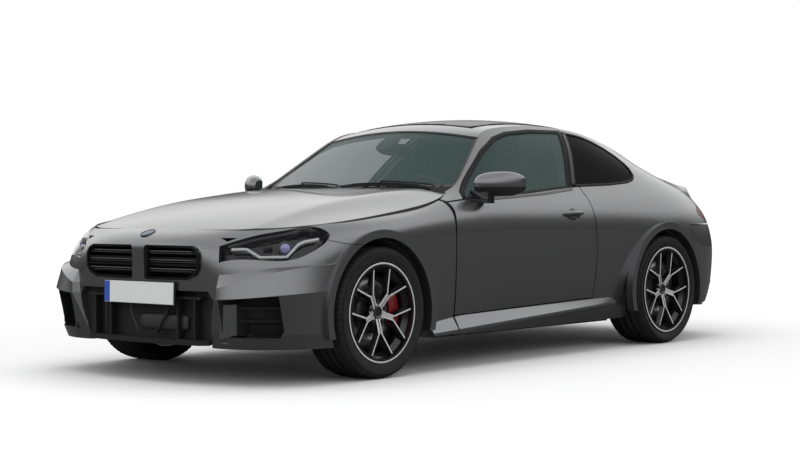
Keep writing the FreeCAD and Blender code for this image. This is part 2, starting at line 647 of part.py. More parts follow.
tail_skin = both(skin.common(block(0, far, along(1.7), far, up(.5), far)))
trunk_lid = deck.fuse(tail_skin).common(lid_space)
latch_y = along(1.83) - seat
hook = block(-mm.latch_width / 2, mm.latch_width / 2, latch_y - mm.latch_depth, along(1.92),
             mm.boot_latch_height + seat, mm.boot_latch_height + mm.latch_depth)
trunk_lid = trunk_lid.fuse(hook)
skirt = skirt_blade()
side_frame = body.common(frame_side).cut([lower_core, cabin_space])
side_frame = side_frame.fuse(skirt.common(frame_side))
side_frame = side_frame.cut([door_hole, window_hole, quarter_hole, hood_opening, crown_opening,
                             lid_opening, lamp_side_hole, pin_space])
tail_lamp = skin.common(lamp_side)

# Rear bumper and the diffuser below it.
bumper_rear_shares = ((1.3035, .05), (2.2, .05), (2.2, .5265), (1.3035, .5265))
diffuser_shares = ((-.62, 0), (.62, 0), (.58, .262), (-.58, .262))
tail_core_shares = (
    (-.848, -2), (.848, -2), (.848, 1.60), (.56, 1.83), (-.56, 1.83), (-.848, 1.60))
tail_core = plan_region(tail_core_shares)
rear_shell = body.common(side_region(bumper_rear_shares)).cut(tail_core)
diffuser_space = front_region(diffuser_shares, 0, False, rear_start_share, rear_reach)
diffuser_hole = front_region(diffuser_shares, seat, False, rear_start_share, rear_reach)
rear_bumper = both(rear_shell.cut(diffuser_hole))
diffuser = both(rear_shell.common(diffuser_space))
tips = []
for x_share in (-.44, -.33, .33, .44):
    start = Vector(across(x_share), along(1.83), up(.215))
    tips.append(Part.makeCylinder(mm.tip_radius, along(2) - start.y, start, Vector(0, 1, 0)))
diffuser = diffuser.fuse(tips)

# Grilles: a frame and slats that fill each opening of the nose.
nose_depth = along(-.86)
kidney = front_region(kidney_shares, -seat)
kidney = kidney.common(block(0, far, along(-.965), nose_depth, 0, far))
kidney = kidney.cut(front_region(kidney_shares, -mm.slat_depth).common(
    block(0, far, -far, nose_depth - mm.slat_depth, 0, far)))
slats = []
for z_share in (.392, .415, .438, .461):
    z = up(z_share)
    slats.append(block(across(.052), across(.445), along(-.955), nose_depth, z, z + mm.slat_depth))
kidney_inside = front_region(kidney_shares, -mm.slat_depth)
kidney = kidney.fuse([slat.common(kidney_inside) for slat in slats])

# Dark panels in the lower openings, the beam that carries them and the lip below the nose.
lip_shares = (
    (.475, -.905), (.44, -.955), (.25, -.982), (0, -.990), (-.25, -.982), (-.44, -.955),
    (-.475, -.905), (-.42, -.80), (.42, -.80))
lip_bottom = up(.138)
lip_top = lip_bottom + mm.splitter_depth
lip = plan_region(lip_shares, 0, lip_bottom, lip_top)
beam_top = mm.engine_floor - mm.rail_width / 2 - seat
mouth_panel = front_region(lower_mouth_shares, -seat).common(
    block(-far, far, along(-.895), along(-.846), lip_top - mm.slat_depth, far).fuse(
        block(-far, far, along(-.895), along(-.79), lip_top - mm.slat_depth, beam_top)))
vanes = []
for x_share in (-.40, -.27, .27, .40):
    x = across(x_share)
    vanes.append(block(x - mm.slat_depth / 2, x + mm.slat_depth / 2, along(-.945), along(-.88),
                       lip_top - mm.slat_depth, up(.305)))
bar_z = up(.30)
vanes.append(block(-across(.45), across(.45), along(-.95), along(-.88), bar_z,
                   bar_z + mm.slat_depth))
beam = block(-far, far, along(-.79), along(-.70), up(.155), beam_top)
beam = beam.common(plan_region(core_shares, -seat))
beam = beam.common(block(-across(.68), across(.68), -far, far, 0, far))
side_space = front_region(side_mouth_shares, -seat)
panel_layer_shares = (.6, 1)
slat_layer_shares = (.35, .7)
side_panel = side_space.common(wall(*[mm.panel_depth * share for share in panel_layer_shares]))
slat_layer = side_space.common(wall(*[mm.panel_depth * share for share in slat_layer_shares]))
side_slats = []
for z_share in (.222, .268):
    z = up(z_share)
    side_slats.append(slat_layer.common(block(0, far, -far, far, z, z + mm.slat_depth)))
side_panel = side_panel.fuse(side_slats)
lower_trim = lip.fuse([mouth_panel, beam, side_panel, mirrored(side_panel)] + vanes)

# Expressions on the sheet for the places of plain parts.
axle_text = "(sizes.front_overhang - sizes.overall_length / 2)"
overhang_text = "(sizes.overall_length - sizes.front_overhang - sizes.wheelbase)"


def along_text(share):
    """The same place as along gives."""
    if share < 0:
        return "(%s - %s * sizes.front_overhang)" % (axle_text, -share)
    if share <= 1:
        return "(%s + %s * sizes.wheelbase)" % (axle_text, share)
    return "(%s + sizes.wheelbase + %s * %s)" % (axle_text, share - 1, overhang_text)


def across_text(share):
    return "(%s * sizes.overall_width / 2)" % share


def up_text(share):
    return "(%s * sizes.overall_height)" % share


def minus(text):
    return "(-1 * (%s))" % text


def bound_box(name, low, high):
    """Box between two corners, each a row of expressions on the sheet."""
    box = doc.addObject("Part::Box", name)
    for size, axis, start, end in zip(("Length", "Width", "Height"), "xyz", low, high):
        box.setExpression(size, "(%s) - (%s)" % (end, start))
        box.setExpression("Placement.Base." + axis, start)
    return box


def bound_boxes(name, low, high):
    """The same box on each side of the car."""
    other_low = (minus(high[0]),) + low[1:]
    other_high = (minus(low[0]),) + high[1:]
    return [bound_box(name + "_left", low, high), bound_box(name + "_right", other_low, other_high)]


def bound_rod(name, radius, reach, start, line):
    """Cylinder from a place along a line, with expressions for its sizes and its place."""
    rod = doc.addObject("Part::Cylinder", name)
    rod.Placement = FreeCAD.Placement(Vector(0, 0, 0), FreeCAD.Rotation(Vector(0, 0, 1), line))
    rod.setExpression("Radius", radius)
    rod.setExpression("Height", reach)
    for axis, text in zip("xyz", start):
        rod.setExpression("Placement.Base." + axis, text)
    return rod


def fused(name, shapes):
    feature = doc.addObject("Part::MultiFuse", name)
    feature.Shapes = shapes
    return feature


def less(name, base, tool):
    feature = doc.addObject("Part::Cut", name)
    feature.Base = base
    feature.Tool = tool
    return feature


# Floor, rails, bulkheads and the arms that carry the front wheels.
seat_text = "sizes.seat_gap"
flat_text = "(sizes.flat_side - sizes.seat_gap)"
firewall_text = along_text(.215)
bench_text = along_text(.86)
axle_z_text = "sizes.front_tyre_radius"
nose_text = "(%s + sizes.seat_gap)" % along_text(-.845)
floor_text = "(sizes.floor_height + sizes.floor_depth)"
carrier_text = along_text(-.75)
carrier_top_text = "(%s - sizes.latch_reach)" % up_text(.545)
boot_latch_text = "(%s - sizes.seat_gap)" % along_text(1.83)
house_top_text = "(sizes.upper_rail_height + sizes.upper_rail_depth)"
rail_start_text = "(sizes.rail_place - sizes.rail_width / 2)"
rail_end_text = "(sizes.rail_place + sizes.rail_width / 2)"
rail_low_text = "(sizes.engine_floor - sizes.rail_width / 2)"
rail_high_text = "(sizes.engine_floor + sizes.rail_width / 2)"
arm_low_text = "(sizes.arm_height - sizes.arm_depth / 2)"
arm_high_text = "(sizes.arm_height + sizes.arm_depth / 2)"

centre_rows = (
    ("floor_pan", flat_text, firewall_text, along_text(.82), "sizes.floor_height", floor_text),
    ("tunnel", "(sizes.tunnel_width / 2)", firewall_text, bench_text, floor_text,
     floor_text + " + sizes.tunnel_height"),
    ("firewall", across_text(.74), firewall_text + " - sizes.firewall_depth", firewall_text,
     "sizes.floor_height", "sizes.firewall_height"),
    ("rear_bulkhead", across_text(.68), bench_text, bench_text + " + sizes.firewall_depth",
     "sizes.floor_height", house_top_text),
    ("rear_shelf", flat_text, bench_text, along_text(1.29), "sizes.upper_rail_height",
     house_top_text),
    ("luggage_floor", across_text(.55), bench_text, boot_latch_text, "sizes.boot_floor_height",
     "sizes.boot_floor_height + sizes.floor_depth"),
    ("front_cross_member", "sizes.rail_place", axle_text + " - sizes.rail_width",
     axle_text + " + sizes.rail_width", arm_low_text, "sizes.engine_floor - sizes.seat_gap"),
    ("lock_carrier", rail_end_text, carrier_text + " - sizes.carrier_depth / 2",
     carrier_text + " + sizes.carrier_depth / 2", carrier_top_text + " - sizes.carrier_depth",
     carrier_top_text),
    ("striker_post", "(sizes.latch_width / 2)", boot_latch_text + " - sizes.latch_depth",
     boot_latch_text, "sizes.boot_floor_height", "sizes.boot_latch_height"),
)
side_rows = (
    ("long_rail", rail_start_text, rail_end_text, nose_text, firewall_text, rail_low_text,
     rail_high_text),
    ("house_wall", "sizes.rail_place", "(sizes.wheelhouse_inner - sizes.seat_gap)",
     along_text(-.28), firewall_text, "sizes.engine_floor", house_top_text),
    ("house_roof", "sizes.rail_place", flat_text, along_text(-.28), firewall_text,
     "sizes.upper_rail_height", house_top_text),
    ("wheel_arm", "sizes.rail_place", "sizes.kingpin_offset",
     axle_text + " - sizes.arm_width / 2", axle_text + " + sizes.arm_width / 2",
     arm_low_text, arm_high_text),
    ("carrier_post", rail_start_text, rail_end_text, carrier_text + " - sizes.carrier_depth / 2",
     carrier_text + " + sizes.carrier_depth / 2", "sizes.engine_floor", carrier_top_text),
)
structure = []
for name, reach, start, end, low, high in centre_rows:
    structure.append(bound_box(name, (minus(reach), start, low), (reach, end, high)))
for name, inner, outer, start, end, low, high in side_rows:
    structure += bound_boxes(name, (inner, start, low), (outer, end, high))
floor = fused("floor", structure)

# Front knuckles: spindle, round post over the arm and the brake caliper behind the axle.
rim_half_share = .46
post_low_text = "(%s + sizes.seat_gap)" % arm_high_text
post_text = "(sizes.post_size / 2)"
kingpin = ("sizes.kingpin_offset", axle_text, axle_z_text)
hub_start_text = "(sizes.front_track / 2 + %s * sizes.front_tyre_width - sizes.spoke_sink" \
    " - sizes.hub_depth - sizes.seat_gap)" % rim_half_share
outboard = Vector(1, 0, 0)
post = bound_rod("kingpin_post", post_text,
                 "%s + %s - %s" % (axle_z_text, post_text, post_low_text),
                 ("sizes.kingpin_offset", axle_text, post_low_text), Vector(0, 0, 1))
spindle = bound_rod("spindle", "sizes.axle_radius", hub_start_text + " - sizes.kingpin_offset",
                    kingpin, outboard)
caliper_disc = bound_rod("caliper_disc", "sizes.caliper_outer", "sizes.caliper_width", kingpin,
                         outboard)
caliper_hole = bound_rod("caliper_hole", "sizes.caliper_inner", "sizes.caliper_width", kingpin,
                         outboard)
caliper_window = bound_box(
    "caliper_window",
    ("sizes.kingpin_offset", axle_text, axle_z_text + " - sizes.caliper_inner / 2"),
    ("sizes.kingpin_offset + sizes.caliper_width", axle_text + " + sizes.caliper_outer",
     axle_z_text + " + sizes.caliper_inner"))
caliper = doc.addObject("Part::Common", "caliper")
caliper.Base = less("caliper_ring", caliper_disc, caliper_hole)
caliper.Tool = caliper_window
bracket = bound_box(
    "caliper_bracket",
    ("sizes.kingpin_offset - " + post_text, axle_text, axle_z_text + " - " + post_text),
    ("sizes.kingpin_offset", axle_text + " + sizes.caliper_outer", axle_z_text + " + " + post_text))
knuckle = fused("knuckle_left", [post, spindle, bracket, caliper])


def turned(name, edges):
    """Solid turned about the car's crosswise line through the middle of a wheel."""
    centre, lines = edges
    profile = shaped(name + "_profile", Part.Face(Part.Wire(lines)))
    solid = doc.addObject("Part::Revolution", name)
    solid.Source = profile
    solid.Axis = outboard
    solid.Base = centre
    solid.Angle = 360
    solid.Solid = True
    return solid


def tyre(name, centre, radius, width, rim_radius):
    bead = width * rim_half_share - mm.rim_wall - seat
    side = width / 2
    inner = rim_radius + seat
    lip = inner + mm.rim_lip_height
    belly = (radius + lip) / 2
    crown_edge = side - mm.tyre_shoulder
    round_share = .22
    bulge = Vector(side - mm.tyre_shoulder * round_share, 0, radius - mm.tyre_shoulder * .42)

    def at(x, r):
        return centre + Vector(x, 0, r)

    lines = [
        Part.makeLine(at(-bead, inner), at(bead, inner)),
        Part.makeLine(at(bead, inner), at(bead, lip)),
        Part.makeLine(at(bead, lip), at(side, belly)),
        Part.Arc(at(side, belly), at(bulge.x, bulge.z), at(crown_edge, radius)).toShape(),
        Part.makeLine(at(crown_edge, radius), at(-crown_edge, radius)),
        Part.Arc(at(-crown_edge, radius), at(-bulge.x, bulge.z), at(-side, belly)).toShape(),
        Part.makeLine(at(-side, belly), at(-bead, lip)),
        Part.makeLine(at(-bead, lip), at(-bead, inner)),
    ]
    return turned(name, (centre, lines))


def bar(start, end, width, back_width, depth):
    """Spoke with a narrow flat face and a wider back between two places of the wheel's face."""
    run = Vector(0, end.y - start.y, end.z - start.z).normalize()
    side = Vector(0, -run.z, run.y)
    wires = []
    for point in (start, end):
        back = point - Vector(depth, 0, 0)
        corners = [point + side * (width / 2), point - side * (width / 2)]
        corners += [back - side * (back_width / 2), back + side * (back_width / 2)]
        wires.append(Part.makePolygon(corners + [corners[0]]))
    return Part.makeLoft(wires, True)


spoke_count = 5
root_share = .12
joint_share = .46
spread_share = .115
stem_back_share = 1.3


def spokes_of(centre, reach, half):
    """Five stems with two raised edges, each of which runs on into a branch to the rim."""
    face = half - mm.face_inset
    bars = []
    for index in range(spoke_count):
        turn = 2 * math.pi * (index + .5) / spoke_count

        def at(share, angle):
            sink = mm.spoke_sink * (1 - share) ** 2
            return centre + Vector(
                face - sink, reach * share * math.sin(angle), reach * share * math.cos(angle))

        joint = at(joint_share, turn)
        root = at(root_share, turn)
        root.x = centre.x + half - mm.spoke_sink
        bars.append(bar(root, joint, mm.spoke_width, mm.spoke_width * stem_back_share,
                        mm.spoke_depth))
        line = Vector(0, joint.z - root.z, root.y - joint.y).normalize() * (mm.spoke_width / 2)
        lift = Vector(mm.edge_lift, 0, 0)
        for side in (-1, 1):
            offset = line * (side * (1 - mm.edge_width / mm.spoke_width)) + lift
            bars.append(bar(root + offset, joint + offset, mm.edge_width, mm.edge_width,
                            mm.spoke_depth / 2))
            tip = at(1, turn + side * spread_share * math.pi)
            bars.append(bar(joint + offset, tip + lift, mm.edge_width, mm.spoke_width,
                            mm.spoke_depth))
    return bars[0].fuse(bars[1:])


def rim(name, end, centre, radius, width):
    """Rim with its hub and spokes; the centre is in the middle of the tyre."""
    half = width * rim_half_share
    ply = mm.rim_wall
    lip = radius + mm.rim_lip_height
    drop = radius - ply * 3
    rows = (
        (-half, lip), (-half + ply, lip), (-half + ply, radius), (-half + ply * 4, radius),
        (-half + ply * 6, drop), (half - ply * 6, drop), (half - ply * 4, radius),
        (half - ply, radius), (half - ply, lip), (half, lip), (half, radius - ply),
        (half - ply * 3, radius - ply), (half - ply * 5, drop - ply),
        (-half + ply * 5, drop - ply), (-half + ply * 3, radius - ply), (-half, radius - ply))
    points = [centre + Vector(x, 0, r) for x, r in rows]
    lines = [Part.makeLine(points[index - 1], points[index]) for index in range(len(points))]
    barrel = turned(name + "_barrel", (centre, lines))
    hub_text = "(sizes.%s_track / 2 + %s * sizes.%s_tyre_width - sizes.spoke_sink" \
        " - sizes.hub_depth)" % (end, rim_half_share, end)
    place_texts = {"front": axle_text, "rear": "(%s + sizes.wheelbase)" % axle_text}
    hub = bound_rod(name + "_hub", "sizes.hub_radius", "sizes.hub_depth",
                    (hub_text, place_texts[end], "sizes.%s_tyre_radius" % end), outboard)
    spokes = shaped(name + "_spokes", spokes_of(centre, radius - ply / 2, half))
    return fused(name, [barrel, hub, spokes])


# Rear axle carrier between the hubs, under the luggage floor.
rear_axle_text = "(%s + sizes.wheelbase)" % axle_text
rear_hub_text = "(sizes.rear_track / 2 + %s * sizes.rear_tyre_width - sizes.spoke_sink" \
    " - sizes.hub_depth - sizes.seat_gap)" % rim_half_share
axle = bound_rod("axle", "sizes.axle_radius", "2 * " + rear_hub_text,
                 (minus(rear_hub_text), rear_axle_text, "sizes.rear_tyre_radius"), outboard)
axle_carrier = bound_box(
    "axle_carrier",
    (minus("sizes.rail_place"), rear_axle_text + " - sizes.rail_width", "sizes.rear_tyre_radius"),
    ("sizes.rail_place", rear_axle_text + " + sizes.rail_width",
     "sizes.boot_floor_height - sizes.seat_gap"))
rear_carrier = fused("rear_axle", [axle, axle_carrier])

# Engine, dashboard, steering wheel and seats.
engine = bound_box(
    "engine_block",
    ("-1 * sizes.engine_width / 2", axle_text + " - sizes.engine_length / 2", "sizes.engine_floor"),
    ("sizes.engine_width / 2", axle_text + " + sizes.engine_length / 2",
     "sizes.engine_floor + sizes.engine_height"))


def drawn(name, shares, start, width):
    """Side outline of places along and heights, drawn out across the car by an expression."""
    points = [Vector(start, along(y), up(z)) for y, z in shares]
    profile = shaped(name + "_profile", Part.makePolygon(points + [points[0]]))
    solid = doc.addObject("Part::Extrusion", name)
    solid.Base = profile
    solid.DirMode = "Custom"
    solid.Dir = outboard
    solid.Solid = True
    solid.setExpression("LengthFwd", width)
    return solid


dash_shares = (
    (.2152, .50), (.2152, .60), (.26, .632), (.31, .658), (.335, .648), (.34, .60), (.33, .52),
    (.29, .50))
whole_dash = drawn("whole_dash", dash_shares, -mm.dash_width / 2, "sizes.dash_width")
dash_back = along(.34) + seat
column_share = .55
wheel_centre = Vector(mm.seat_place, dash_back + mm.column_length * column_share, up(.62))
column_tilt_share = .27
tilt = column_tilt_share * math.pi / 2
column_line = Vector(0, math.cos(tilt), math.sin(tilt))
grip = doc.addObject("Part::Torus", "grip")
grip.setExpression("Radius1", "sizes.wheel_rim_radius")
grip.setExpression("Radius2", "sizes.wheel_grip_radius")
hub_plate = doc.addObject("Part::Cylinder", "hub_plate")
hub_plate.setExpression("Radius", "sizes.hub_radius")
hub_plate.setExpression("Height", "2 * sizes.wheel_grip_radius")
column = doc.addObject("Part::Cylinder", "column")
column.setExpression("Radius", "sizes.column_radius")
column.setExpression("Height", "sizes.column_length")
column_bore = doc.addObject("Part::Cylinder", "column_bore")
column_bore.setExpression("Radius", "sizes.column_radius + sizes.column_gap")
column_bore.setExpression("Height", "sizes.column_length + sizes.column_radius")
bore_reach = mm.column_length + mm.column_radius
turn_to_column = FreeCAD.Rotation(Vector(0, 0, 1), column_line)
for feature, back in ((grip, 0), (hub_plate, mm.wheel_grip_radius), (column, mm.column_length),
                      (column_bore, bore_reach)):
    feature.Placement = FreeCAD.Placement(wheel_centre - column_line * back, turn_to_column)
wheel_spokes = []
for index in range(3):
    angle = index * math.pi / 2
    line = Vector(math.cos(angle), math.sin(angle) * math.sin(tilt),
                  -math.sin(angle) * math.cos(tilt))
    spoke = doc.addObject("Part::Cylinder", "wheel_spoke_%d" % index)
    spoke.setExpression("Radius", "sizes.wheel_spoke_radius")
    spoke.setExpression("Height", "sizes.wheel_rim_radius")
    spoke.Placement = FreeCAD.Placement(
        wheel_centre, FreeCAD.Rotation(Vector(0, 0, 1), line))
    wheel_spokes.append(spoke)
steering_wheel = fused("steering_wheel", [grip, hub_plate, column] + wheel_spokes)
dashboard = less("dashboard", whole_dash, column_bore)
seat_shares = (
    (.455, .1615), (.455, .32), (.475, .345), (.60, .325), (.655, .62), (.645, .78), (.665, .86),
    (.695, .86), (.69, .70), (.66, .45), (.645, .1615))
bench_shares = (
    (.735, .1615), (.735, .31), (.76, .335), (.82, .31), (.845, .60), (.8597, .60), (.8597, .1615))
front_seat = drawn("seat_left", seat_shares, mm.seat_place - mm.seat_width / 2, "sizes.seat_width")
whole_bench = drawn("whole_bench", bench_shares, -mm.bench_width / 2, "sizes.bench_width")
tunnel_side_text = "(sizes.tunnel_width / 2 + sizes.seat_gap)"
tunnel_space = bound_box(
    "tunnel_space", (minus(tunnel_side_text), along_text(.7), "0"),
    (tunnel_side_text, along_text(.9), floor_text + " + sizes.tunnel_height + sizes.seat_gap"))
bench = less("rear_bench", whole_bench, tunnel_space)

# Door mirrors on short stalks.
near_wall = wall(-seat, mm.panel_depth)
mirror_centre = place(.994, .338, .709)
mirror_station_shares = (
    (-.48, .30, .27, -.04), (-.40, .42, .36, .02), (-.20, .54, .46, .14), (.10, .60, .50, .36),
    (.32, .56, .48, .56), (.45, .42, .38, .72), (.50, .24, .24, .80))
mirror_ring_shares = (
    (0, -.80), (-.40, -1), (-.82, -.72), (-1, 0), (-.80, .74), (-.38, 1), (0, .84), (.05, 0))


def mirror_head(centre):
    """Housing with a nearly flat back, drawn through upright stations from its root to its tip."""
    wires = []
    for x_share, depth_share, height_share, sweep_share in mirror_station_shares:
        reach = mm.mirror_depth * depth_share
        rise = mm.mirror_height * height_share
        x = mm.mirror_length * x_share
        middle = centre + Vector(x, mm.mirror_depth * sweep_share, 0)
        wires.append(outline(
            [middle + Vector(0, y * reach, z * rise) for y, z in mirror_ring_shares], True))
    return Part.makeLoft(wires, True)


head = mirror_head(mirror_centre)
stalk = block(across(.862), mirror_centre.x, mirror_centre.y - mm.mirror_stalk, mirror_centre.y,
              mirror_centre.z - mm.mirror_height * .78, mirror_centre.z - mm.mirror_height / 4)
mirror = head.fuse(stalk).cut(near_wall)

kept("floor", floor)
piece("front_bumper", front_bumper)
pair("kidney_grille", kidney)
piece("lower_trim", lower_trim)
pair("headlamp", headlamp)
piece("hood", hood)
pair("fender", fender)
pair("door", door)
pair("door_glass", door_glass)
pair("door_mirror", mirror)
pair("side_frame", side_frame)
pair("quarter_glass", quarter_glass)
piece("windscreen", windscreen)
piece("roof", roof)
piece("rear_window", rear_window)
piece("trunk_lid", trunk_lid)
piece("rear_bumper", rear_bumper)
pair("tail_lamp", tail_lamp)
piece("diffuser", diffuser)
kept("dashboard", dashboard)
kept("steering_wheel", steering_wheel)
kept_pair("seat", front_seat)
kept("rear_bench", bench)
kept("engine_block", engine)
kept_pair("knuckle", knuckle)
kept("rear_axle", rear_carrier)
for end, y, x, radius, width, rim_radius, inner in wheel_places:
    centre = Vector(x, y, radius)
    kept_pair("tyre_" + end, tyre("tyre_%s_left" % end, centre, radius, width, rim_radius))
    kept_pair("rim_" + end, rim("rim_%s_left" % end, end, centre, rim_radius, width))

doc.recompute()
for feature in doc.Objects:
    if "Invalid" in feature.State or "Error" in feature.State:
        raise ValueError("%s did not compute" % feature.Name)
for feature in pieces:
    if feature.Shape.isNull() or not feature.Shape.isValid():
        raise ValueError("%s has no valid shape" % feature.Label)

os.makedirs("parts", exist_ok=True)
for feature in pieces:
    feature.Shape.exportStep("parts/%s.step" % feature.Label)
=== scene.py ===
import math

import bmesh
import bpy
from mathutils import Matrix, Vector
from mathutils.bvhtree import BVHTree


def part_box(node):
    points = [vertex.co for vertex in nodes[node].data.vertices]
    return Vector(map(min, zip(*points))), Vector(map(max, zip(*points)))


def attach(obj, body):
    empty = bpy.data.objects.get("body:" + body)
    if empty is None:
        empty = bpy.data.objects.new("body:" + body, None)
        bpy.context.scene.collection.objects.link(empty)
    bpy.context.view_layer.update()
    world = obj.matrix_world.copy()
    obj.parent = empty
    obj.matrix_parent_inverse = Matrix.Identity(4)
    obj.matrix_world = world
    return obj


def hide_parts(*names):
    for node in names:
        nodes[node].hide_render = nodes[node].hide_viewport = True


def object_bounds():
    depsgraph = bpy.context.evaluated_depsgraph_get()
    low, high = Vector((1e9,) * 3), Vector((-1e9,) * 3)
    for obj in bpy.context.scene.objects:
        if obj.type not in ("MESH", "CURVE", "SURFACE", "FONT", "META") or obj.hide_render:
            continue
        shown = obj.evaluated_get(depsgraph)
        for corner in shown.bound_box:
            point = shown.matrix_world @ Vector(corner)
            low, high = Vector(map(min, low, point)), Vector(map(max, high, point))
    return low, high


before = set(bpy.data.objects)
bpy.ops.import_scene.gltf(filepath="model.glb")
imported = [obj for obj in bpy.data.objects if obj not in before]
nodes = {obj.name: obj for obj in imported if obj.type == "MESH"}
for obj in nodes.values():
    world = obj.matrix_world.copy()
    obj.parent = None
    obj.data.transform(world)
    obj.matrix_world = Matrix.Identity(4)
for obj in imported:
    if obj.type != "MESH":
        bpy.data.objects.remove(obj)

cad_low, cad_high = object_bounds()
scene = bpy.context.scene
sides = (("left", 1), ("right", -1))
axles = {"front": (-1.446, .337), "rear": (1.301, .339)}
upward = Vector((0, 0, 1))
rearward = Vector((0, 1, 0))
plastic = "cabin_plastic"
seat_slot = "seat_leather"


# Materials.

def link(mat, source, target):
    mat.node_tree.links.new(source, target)


def node(mat, kind, **values):
    made = mat.node_tree.nodes.new(kind)
    for key, value in values.items():
        if hasattr(made, key):
            setattr(made, key, value)
        else:
            made.inputs[key.replace("_", " ")].default_value = value
    return made


def place_socket(mat):
    return node(mat, "ShaderNodeTexCoord").outputs["Object"]


def noise_socket(mat, size, detail):
    texture = node(mat, "ShaderNodeTexNoise", Scale=1 / size, Detail=detail)
    link(mat, place_socket(mat), texture.inputs["Vector"])
    return texture.outputs["Fac"]


def cell_socket(mat, size):
    texture = node(mat, "ShaderNodeTexVoronoi", Scale=1 / size)
    link(mat, place_socket(mat), texture.inputs["Vector"])
    return texture.outputs["Distance"]


def over(mat, fac, low, high, start=0.0, end=1.0):
    """Start where the factor is below low, end where it is above high."""
    ranged = node(mat, "ShaderNodeMapRange")
    link(mat, fac, ranged.inputs["Value"])
    for key, value in (("From Min", low), ("From Max", high), ("To Min", start), ("To Max", end)):
        ranged.inputs[key].default_value = value
    return ranged.outputs["Result"]


def blend_color(mat, fac, first, second):
    mixed = node(mat, "ShaderNodeMix", data_type="RGBA")
    link(mat, fac, mixed.inputs["Factor"])
    for socket, value in ((mixed.inputs[6], first), (mixed.inputs[7], second)):
        if isinstance(value, tuple):
            socket.default_value = value + (1,)
        else:
            link(mat, value, socket)
    return mixed.outputs[2]


def add_bump(mat, fac, depth, strength=.6):
    shader = mat.node_tree.nodes["Principled BSDF"]
    bump = node(mat, "ShaderNodeBump", Strength=strength, Distance=depth)
    link(mat, fac, bump.inputs["Height"])
    before = shader.inputs["Normal"].links
    if before:
        link(mat, before[0].from_socket, bump.inputs["Normal"])
    link(mat, bump.outputs["Normal"], shader.inputs["Normal"])


def surface(name, color, roughness, metallic=0.0, grain=None, cells=None, mottle=.12, wear=.08,
            **sockets):
    """Finish with uneven colour and gloss; grain and cells are (size, depth) of fine relief."""
    mat = bpy.data.materials.new(name)
    mat.use_nodes = True
    shader = mat.node_tree.nodes["Principled BSDF"]
    shader.inputs["Metallic"].default_value = metallic
    for key, value in sockets.items():
        shader.inputs[key.replace("_", " ")].default_value = value
    dark = tuple(c * (1 - mottle) for c in color)
    light = tuple(min(1, c * (1 + mottle)) for c in color)
    link(mat, blend_color(mat, noise_socket(mat, .09, 6), dark, light),
         shader.inputs["Base Color"])
    rough = over(mat, noise_socket(mat, .05, 5), .3, .7, roughness * (1 - wear),
                 roughness * (1 + wear))
    link(mat, rough, shader.inputs["Roughness"])
    if grain:
        add_bump(mat, noise_socket(mat, grain[0], 2), grain[1])
    if cells:
        add_bump(mat, cell_socket(mat, cells[0]), cells[1])
    mat.diffuse_color = color + (1,)
    return mat


def paint(name, color):
    """Metallic paint: flakes of mixed brightness under a clear coat with slight orange peel."""
    mat = surface(name, color, .30, .93, mottle=.02, wear=.03, Coat_Weight=1.0,
                  Coat_Roughness=.035, Coat_IOR=1.5)
    shader = mat.node_tree.nodes["Principled BSDF"]
    dark = tuple(c * .82 for c in color)
    light = tuple(c * 1.22 for c in color)
    link(mat, blend_color(mat, cell_socket(mat, .0011), dark, light),
         shader.inputs["Base Color"])
    add_bump(mat, noise_socket(mat, .004, 1), .00002, .25)
    return mat


def tinted(name, color, alpha, ior=1.7):
    """Thin tinted pane: what is behind shows through by the share that alpha leaves."""
    return surface(name, color, .02, mottle=.02, wear=.02, Alpha=alpha, IOR=ior,
                   Specular_IOR_Level=.16)


def axis_socket(mat, axis, kind="Object"):
    split = node(mat, "ShaderNodeSeparateXYZ")
    coordinates = node(mat, "ShaderNodeTexCoord")
    link(mat, coordinates.outputs[kind], split.inputs["Vector"])
    return split.outputs[axis]


def math_socket(mat, operation, first, second=0.0):
    made = node(mat, "ShaderNodeMath", operation=operation)
    for index, value in enumerate((first, second)):
        if isinstance(value, (int, float)):
            made.inputs[index].default_value = value
        else:
            link(mat, value, made.inputs[index])
    return made.outputs[0]


def two_tone(mat, fac, color, roughness, metallic):
    """Another colour, gloss and metal where the factor is 1."""
    shader = mat.node_tree.nodes["Principled BSDF"]
    base = shader.inputs["Base Color"].links[0].from_socket
    link(mat, blend_color(mat, fac, base, color), shader.inputs["Base Color"])
    for key, value in (("Roughness", roughness), ("Metallic", metallic)):
        socket = shader.inputs[key]
        mixed = node(mat, "ShaderNodeMix", data_type="FLOAT")
        link(mat, fac, mixed.inputs["Factor"])
        if socket.links:
            link(mat, socket.links[0].from_socket, mixed.inputs[2])
        else:
            mixed.inputs[2].default_value = socket.default_value
        mixed.inputs[3].default_value = value
        link(mat, mixed.outputs[0], socket)


body_grey = (.205, .207, .212)
body_paint = paint("body_paint", body_grey)
gloss_black = surface("gloss_black", (.008, .008, .009), .12, Coat_Weight=.6, Coat_Roughness=.05)
grille_black = surface("grille_black", (.0045, .0045, .005), .5, grain=(.0008, .00004),
                       Specular_IOR_Level=.2)
satin_black = surface("satin_black", (.008, .008, .0085), .58, grain=(.0011, .00012))
# Near-black: real black for the tail lamp bucket and the glove box seam, and painted shade for the
# brake disc holes and the exhaust mouths.
black_and_painted_shade = surface("black_and_painted_shade", (.004, .004, .004), .9)
clear_glass = tinted("clear_glass", (.045, .088, .083), .38)
tint_glass = tinted("tint_glass", (.005, .005, .0055), 1.0, 1.1)
lens_glass = tinted("lens_glass", (.02, .02, .023), .12, 1.6)
rubber = surface("rubber", (.018, .018, .018), .72, grain=(.0016, .0001), mottle=.2)
tyre_rubber = surface("tyre_rubber", (.009, .009, .0095), .78, grain=(.0022, .00012), mottle=.25)
seal_rubber = surface("seal_rubber", (.004, .004, .004), .6, grain=(.0012, .00006),
                      Specular_IOR_Level=.25)
steel = surface("steel", (.42, .42, .43), .34, 1.0, grain=(.0006, .00003))
disc_steel = surface("disc_steel", (.33, .33, .34), .36, 1.0, grain=(.0009, .00004), mottle=.2)
bright_metal = surface("bright_metal", (.78, .78, .79), .16, 1.0)
